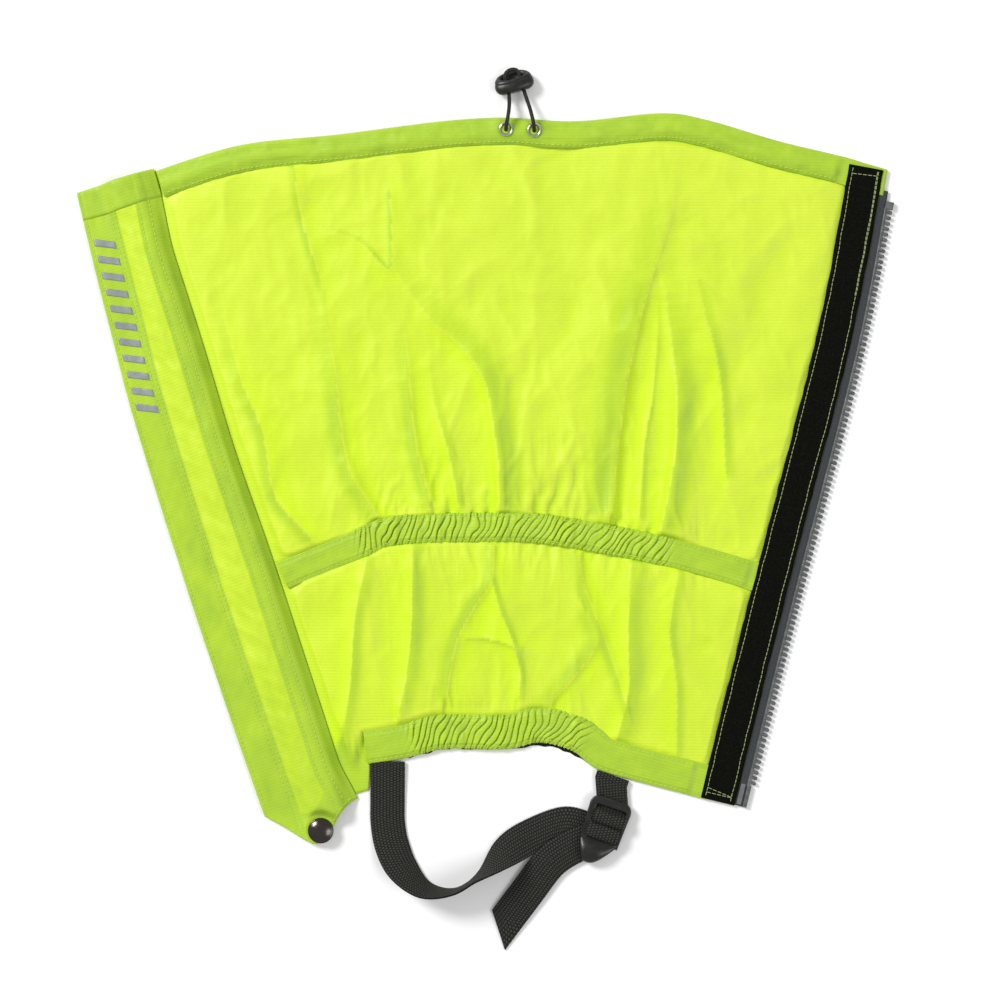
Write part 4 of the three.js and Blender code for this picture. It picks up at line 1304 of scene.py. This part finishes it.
STRAP_ROUTE = [
    (-55.4, -133, 1.9), (-55.6, -155.4, 1), (-55.4, -168.8, 0.8), (-53, -181.6, 0.8), (-46.7, -194.4, 0.9),
    (-33.9, -205.8, 1), (-17.1, -207.1, 1), (-2.6, -198.4, 1), (13.6, -184.4, 0.9), (31.2, -174.6, 0.8),
    (47, -169.2, 0.8), (58, -171.4, 0.8),
]
TAIL_ROUTE = [(66, -177.3, 2.15), (52, -182.4, 2.15), (38.6, -191.4, 2.15), (25.6, -208.2, 2),
              (8.7, -230.8, 0.9)]
BUCKLE = {"place": (71.6, -165.3, 4.4), "turn": -0.334}
WEB_SECTION = rounded_box(10, 0.62, 0.5, 4)
WRAP_SECTION = WEB_SECTION * [0.97, 1]


def in_buckle_frame(points):
    return points @ turned(BUCKLE["turn"]) + [BUCKLE["place"][0], BUCKLE["place"][1], 0]


def webbing_uv(section, s):
    """Distances across and along the webbing, for each point of a swept section."""
    shape = (len(s), len(section))
    across = np.broadcast_to(section[:, 0] + 10, shape)
    return np.dstack([across, np.broadcast_to(s[:, None], shape)]).reshape(-1, 2)


def webbing_run(route, roll, steps, slant=0.0):
    """Webbing along a route; its lower edge stays down where it rolls. slant cuts the end askew."""
    line = Line(route)
    s = np.linspace(0, line.length, steps)
    u = s / line.length
    path, way = line.at(s), line.ahead(s, 1.5)
    side = np.cross([0, 0, 1.0], way)
    side /= np.linalg.norm(side, axis=1, keepdims=True)
    face = np.cross(way, side)
    turn = roll(u)[:, None]
    rolled = side * np.cos(turn) + face * np.sin(turn)
    path[:, 2] += 10 * np.abs(np.sin(turn[:, 0]))
    up = np.cross(way, rolled)
    points, faces = swept(path, rolled, up, WEB_SECTION)
    grid = points.reshape(steps, -1, 3)
    cut = slant * smoothstep(u, 0.86, 1.0)[:, None, None] * (WEB_SECTION[:, 0] / 10)[None, :, None]
    grid = grid + cut * way[:, None]
    return grid.reshape(-1, 3), faces, webbing_uv(WEB_SECTION, s)


def webbing_wrap(route, steps, lean=None):
    """Webbing in the buckle's frame, bent about the buckle's width along (y, z) points."""
    line = Line([(0, y, z) for y, z in route])
    s = np.linspace(0, line.length, steps)
    path, way = line.at(s), line.ahead(s, 0.5)
    side = np.tile([-1.0, 0, 0], (steps, 1))
    if lean is not None:
        path[:, 0] += lean(path[:, 1])
    points, faces = swept(path, side, np.cross(way, side), WRAP_SECTION)
    return in_buckle_frame(points), faces, webbing_uv(WRAP_SECTION, s)


def webbing_piece(name, parts, node):
    made = build(name, *joined(parts), soften=60)
    finish_piece(made, WEBBING, None, [node])
    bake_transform(made)


def strap_roll(u):
    return -math.pi / 2 * smoothstep(u, 0.2, 0.56) * (1 - smoothstep(u, 0.58, 0.84))


def add_stirrup():
    run = webbing_run(STRAP_ROUTE, strap_roll, 260)
    bar = webbing_wrap([(-7.2, 0.8), (-5.9, 1.4), (-5.0, 4.4), (-5.9, 7.2), (-9.4, 7.9), (-12.3, 7.2),
                        (-13.1, 4.6), (-13, 2.6), (-11.6, 2.15), (-8.6, 2.15)], 70)
    tail = webbing_run(TAIL_ROUTE, lambda u: 0 * u, 90, slant=7.1)
    webbing_piece("stirrup_webbing", [run, bar, tail], "stirrup_strap")
    loop = [(24, 0.9), (10, 0.8), (2.4, 0.8), (-2.6, 1.6), (-4.3, 4.4), (-2.9, 7.2), (0, 7.9), (2.2, 7.2),
            (3.5, 4.6), (4.8, 2.6), (6.8, 2.1), (10, 2.1), (24, 2.3)]
    short = webbing_wrap(loop, 110, lambda y: 1.5 - 6.0 * np.clip((y - 6) / 14, 0, 1))
    webbing_piece("buckle_loop_webbing", [short], "buckle_loop_strap")


def plate_with_holes(outlines, thickness, bevel):
    """Points and faces of a plate with rounded edges, from closed outlines in its own plane."""
    data = bpy.data.curves.new("outline", "CURVE")
    data.dimensions, data.fill_mode = "2D", "BOTH"
    data.extrude, data.bevel_depth, data.bevel_resolution = thickness / 2 - bevel, bevel, 3
    data.offset = -bevel
    for outline in outlines:
        spline = data.splines.new("POLY")
        spline.points.add(len(outline) - 1)
        ends = np.tile([0.0, 1.0], (len(outline), 1))
        spline.points.foreach_set("co", np.hstack([outline, ends]).ravel())
        spline.use_cyclic_u = True
    holder = bpy.data.objects.new("outline", data)
    mesh = bpy.data.meshes.new_from_object(holder)
    points = np.array([v.co for v in mesh.vertices], float).reshape(-1, 3)
    faces = [np.array([list(p.vertices)]) for p in mesh.polygons]
    bpy.data.objects.remove(holder)
    bpy.data.curves.remove(data)
    bpy.data.meshes.remove(mesh)
    return points, faces


def thumb_tab():
    """The buckle's bulbous lifting tab."""
    rows = [(-13.2, 11.8, 1.2, 0.0), (-14.6, 11.2, 1.7, 0.2), (-16.8, 10.2, 2.5, 0.7), (-19.6, 8.8, 3.1, 1.1),
            (-22.6, 7.2, 3.2, 1.2), (-25.4, 5.4, 2.6, 1.0), (-27.4, 3.3, 1.7, 0.7), (-28.2, 1.0, 0.6, 0.5)]
    line = Line(rows)
    count = 40
    fine = line.at(np.linspace(0, line.length, count))
    turn = np.linspace(0, 2 * math.pi, count, endpoint=False)
    cos, sin = np.cos(turn), np.sin(turn)
    grid = np.array([np.stack([wide * np.sign(cos) * np.abs(cos) ** 0.75 + 0.22 * (y + 13.2),
                               np.full(count, y),
                               lift + thick * np.sign(sin) * np.abs(sin) ** 0.85], axis=1)
                     for y, wide, thick, lift in fine])
    return grid.reshape(-1, 3), tube_faces(count, count)


def add_buckle():
    half, high, low, corner = 12.4, 11.4, -16.0, 5.6
    turn = np.linspace(0, math.pi / 2, 9)
    right = np.stack([half - corner + corner * np.cos(turn), high - corner + corner * np.sin(turn)], axis=1)
    left = right[::-1] * [-1, 1]
    outline = np.concatenate([[(half - 1, low)], right, left, [(-half + 1, low)]])
    slots = [rounded_box(8.9, (b - a) / 2, 0.9, 4) + [0.7, (a + b) / 2]
             for a, b in ((2, 6.2), (-7.4, -2), (-14.4, -11.4))]
    plate = plate_with_holes([outline, *slots], 2.8, 0.7)
    points, faces = joined([plate, thumb_tab()])
    points = in_buckle_frame(points) + [0, 0, BUCKLE["place"][2]]
    made = build("ladder_buckle_frame", points, faces, soften=40)
    finish_piece(made, BLACK_PLASTIC, "buckle", ["ladder_buckle"])


add_stirrup()
add_buckle()

# ---- CAD nodes that stay ----

KEPT = {
    "zip_slider": DARK_NICKEL, "pull_tab": DARK_NICKEL, "snap_socket": DARK_NICKEL,
    "eyelet_washer_left": NICKEL, "eyelet_washer_right": NICKEL,
    "retaining_box": GREY_PLASTIC, "insertion_pin": GREY_PLASTIC,
    "left_top_stop": GREY_PLASTIC, "right_top_stop": GREY_PLASTIC,
    "right_tape_film": FILM,
    "drawcord_left_run": plastic_look("cord_in_hem", colour(14, 14, 10), colour(44, 45, 36), 0.6),
}
KEPT["drawcord_right_run"] = KEPT["drawcord_left_run"]
for node, material in KEPT.items():
    for slot in frame["nodes"][node].material_slots:
        slot.material = material


# ---- floor and light ----

def add_floor():
    half = 6.0
    points = np.array([(-half, -half, 0), (half, -half, 0), (half, half, 0), (-half, half, 0)]) / MM
    floor = build("floor", points - SHIFT, [np.array([[0, 1, 2, 3]])])
    floor.data.materials.append(floor_look())


def add_light(name, place, size, power):
    data = bpy.data.lights.new(name, "AREA")
    data.shape, data.size, data.energy = "DISK", size, power
    light = bpy.data.objects.new(name, data)
    light.location = place
    light.rotation_euler = (-Vector(place)).to_track_quat("-Z", "Y").to_euler()
    bpy.context.scene.collection.objects.link(light)


def add_studio():
    world = bpy.data.worlds.new("studio")
    world.use_nodes = True
    world.node_tree.nodes["Background"].inputs["Color"].default_value = (1.0, 1.0, 1.0, 1.0)
    world.node_tree.nodes["Background"].inputs["Strength"].default_value = 0.48
    bpy.context.scene.world = world
    bpy.context.scene.view_settings.view_transform = "Standard"
    add_light("key", (-2.6, 1.9, 2.6), 1.5, 145)
    add_light("fill", (2.6, -1.0, 3.0), 2.2, 52)


add_floor()
add_studio()
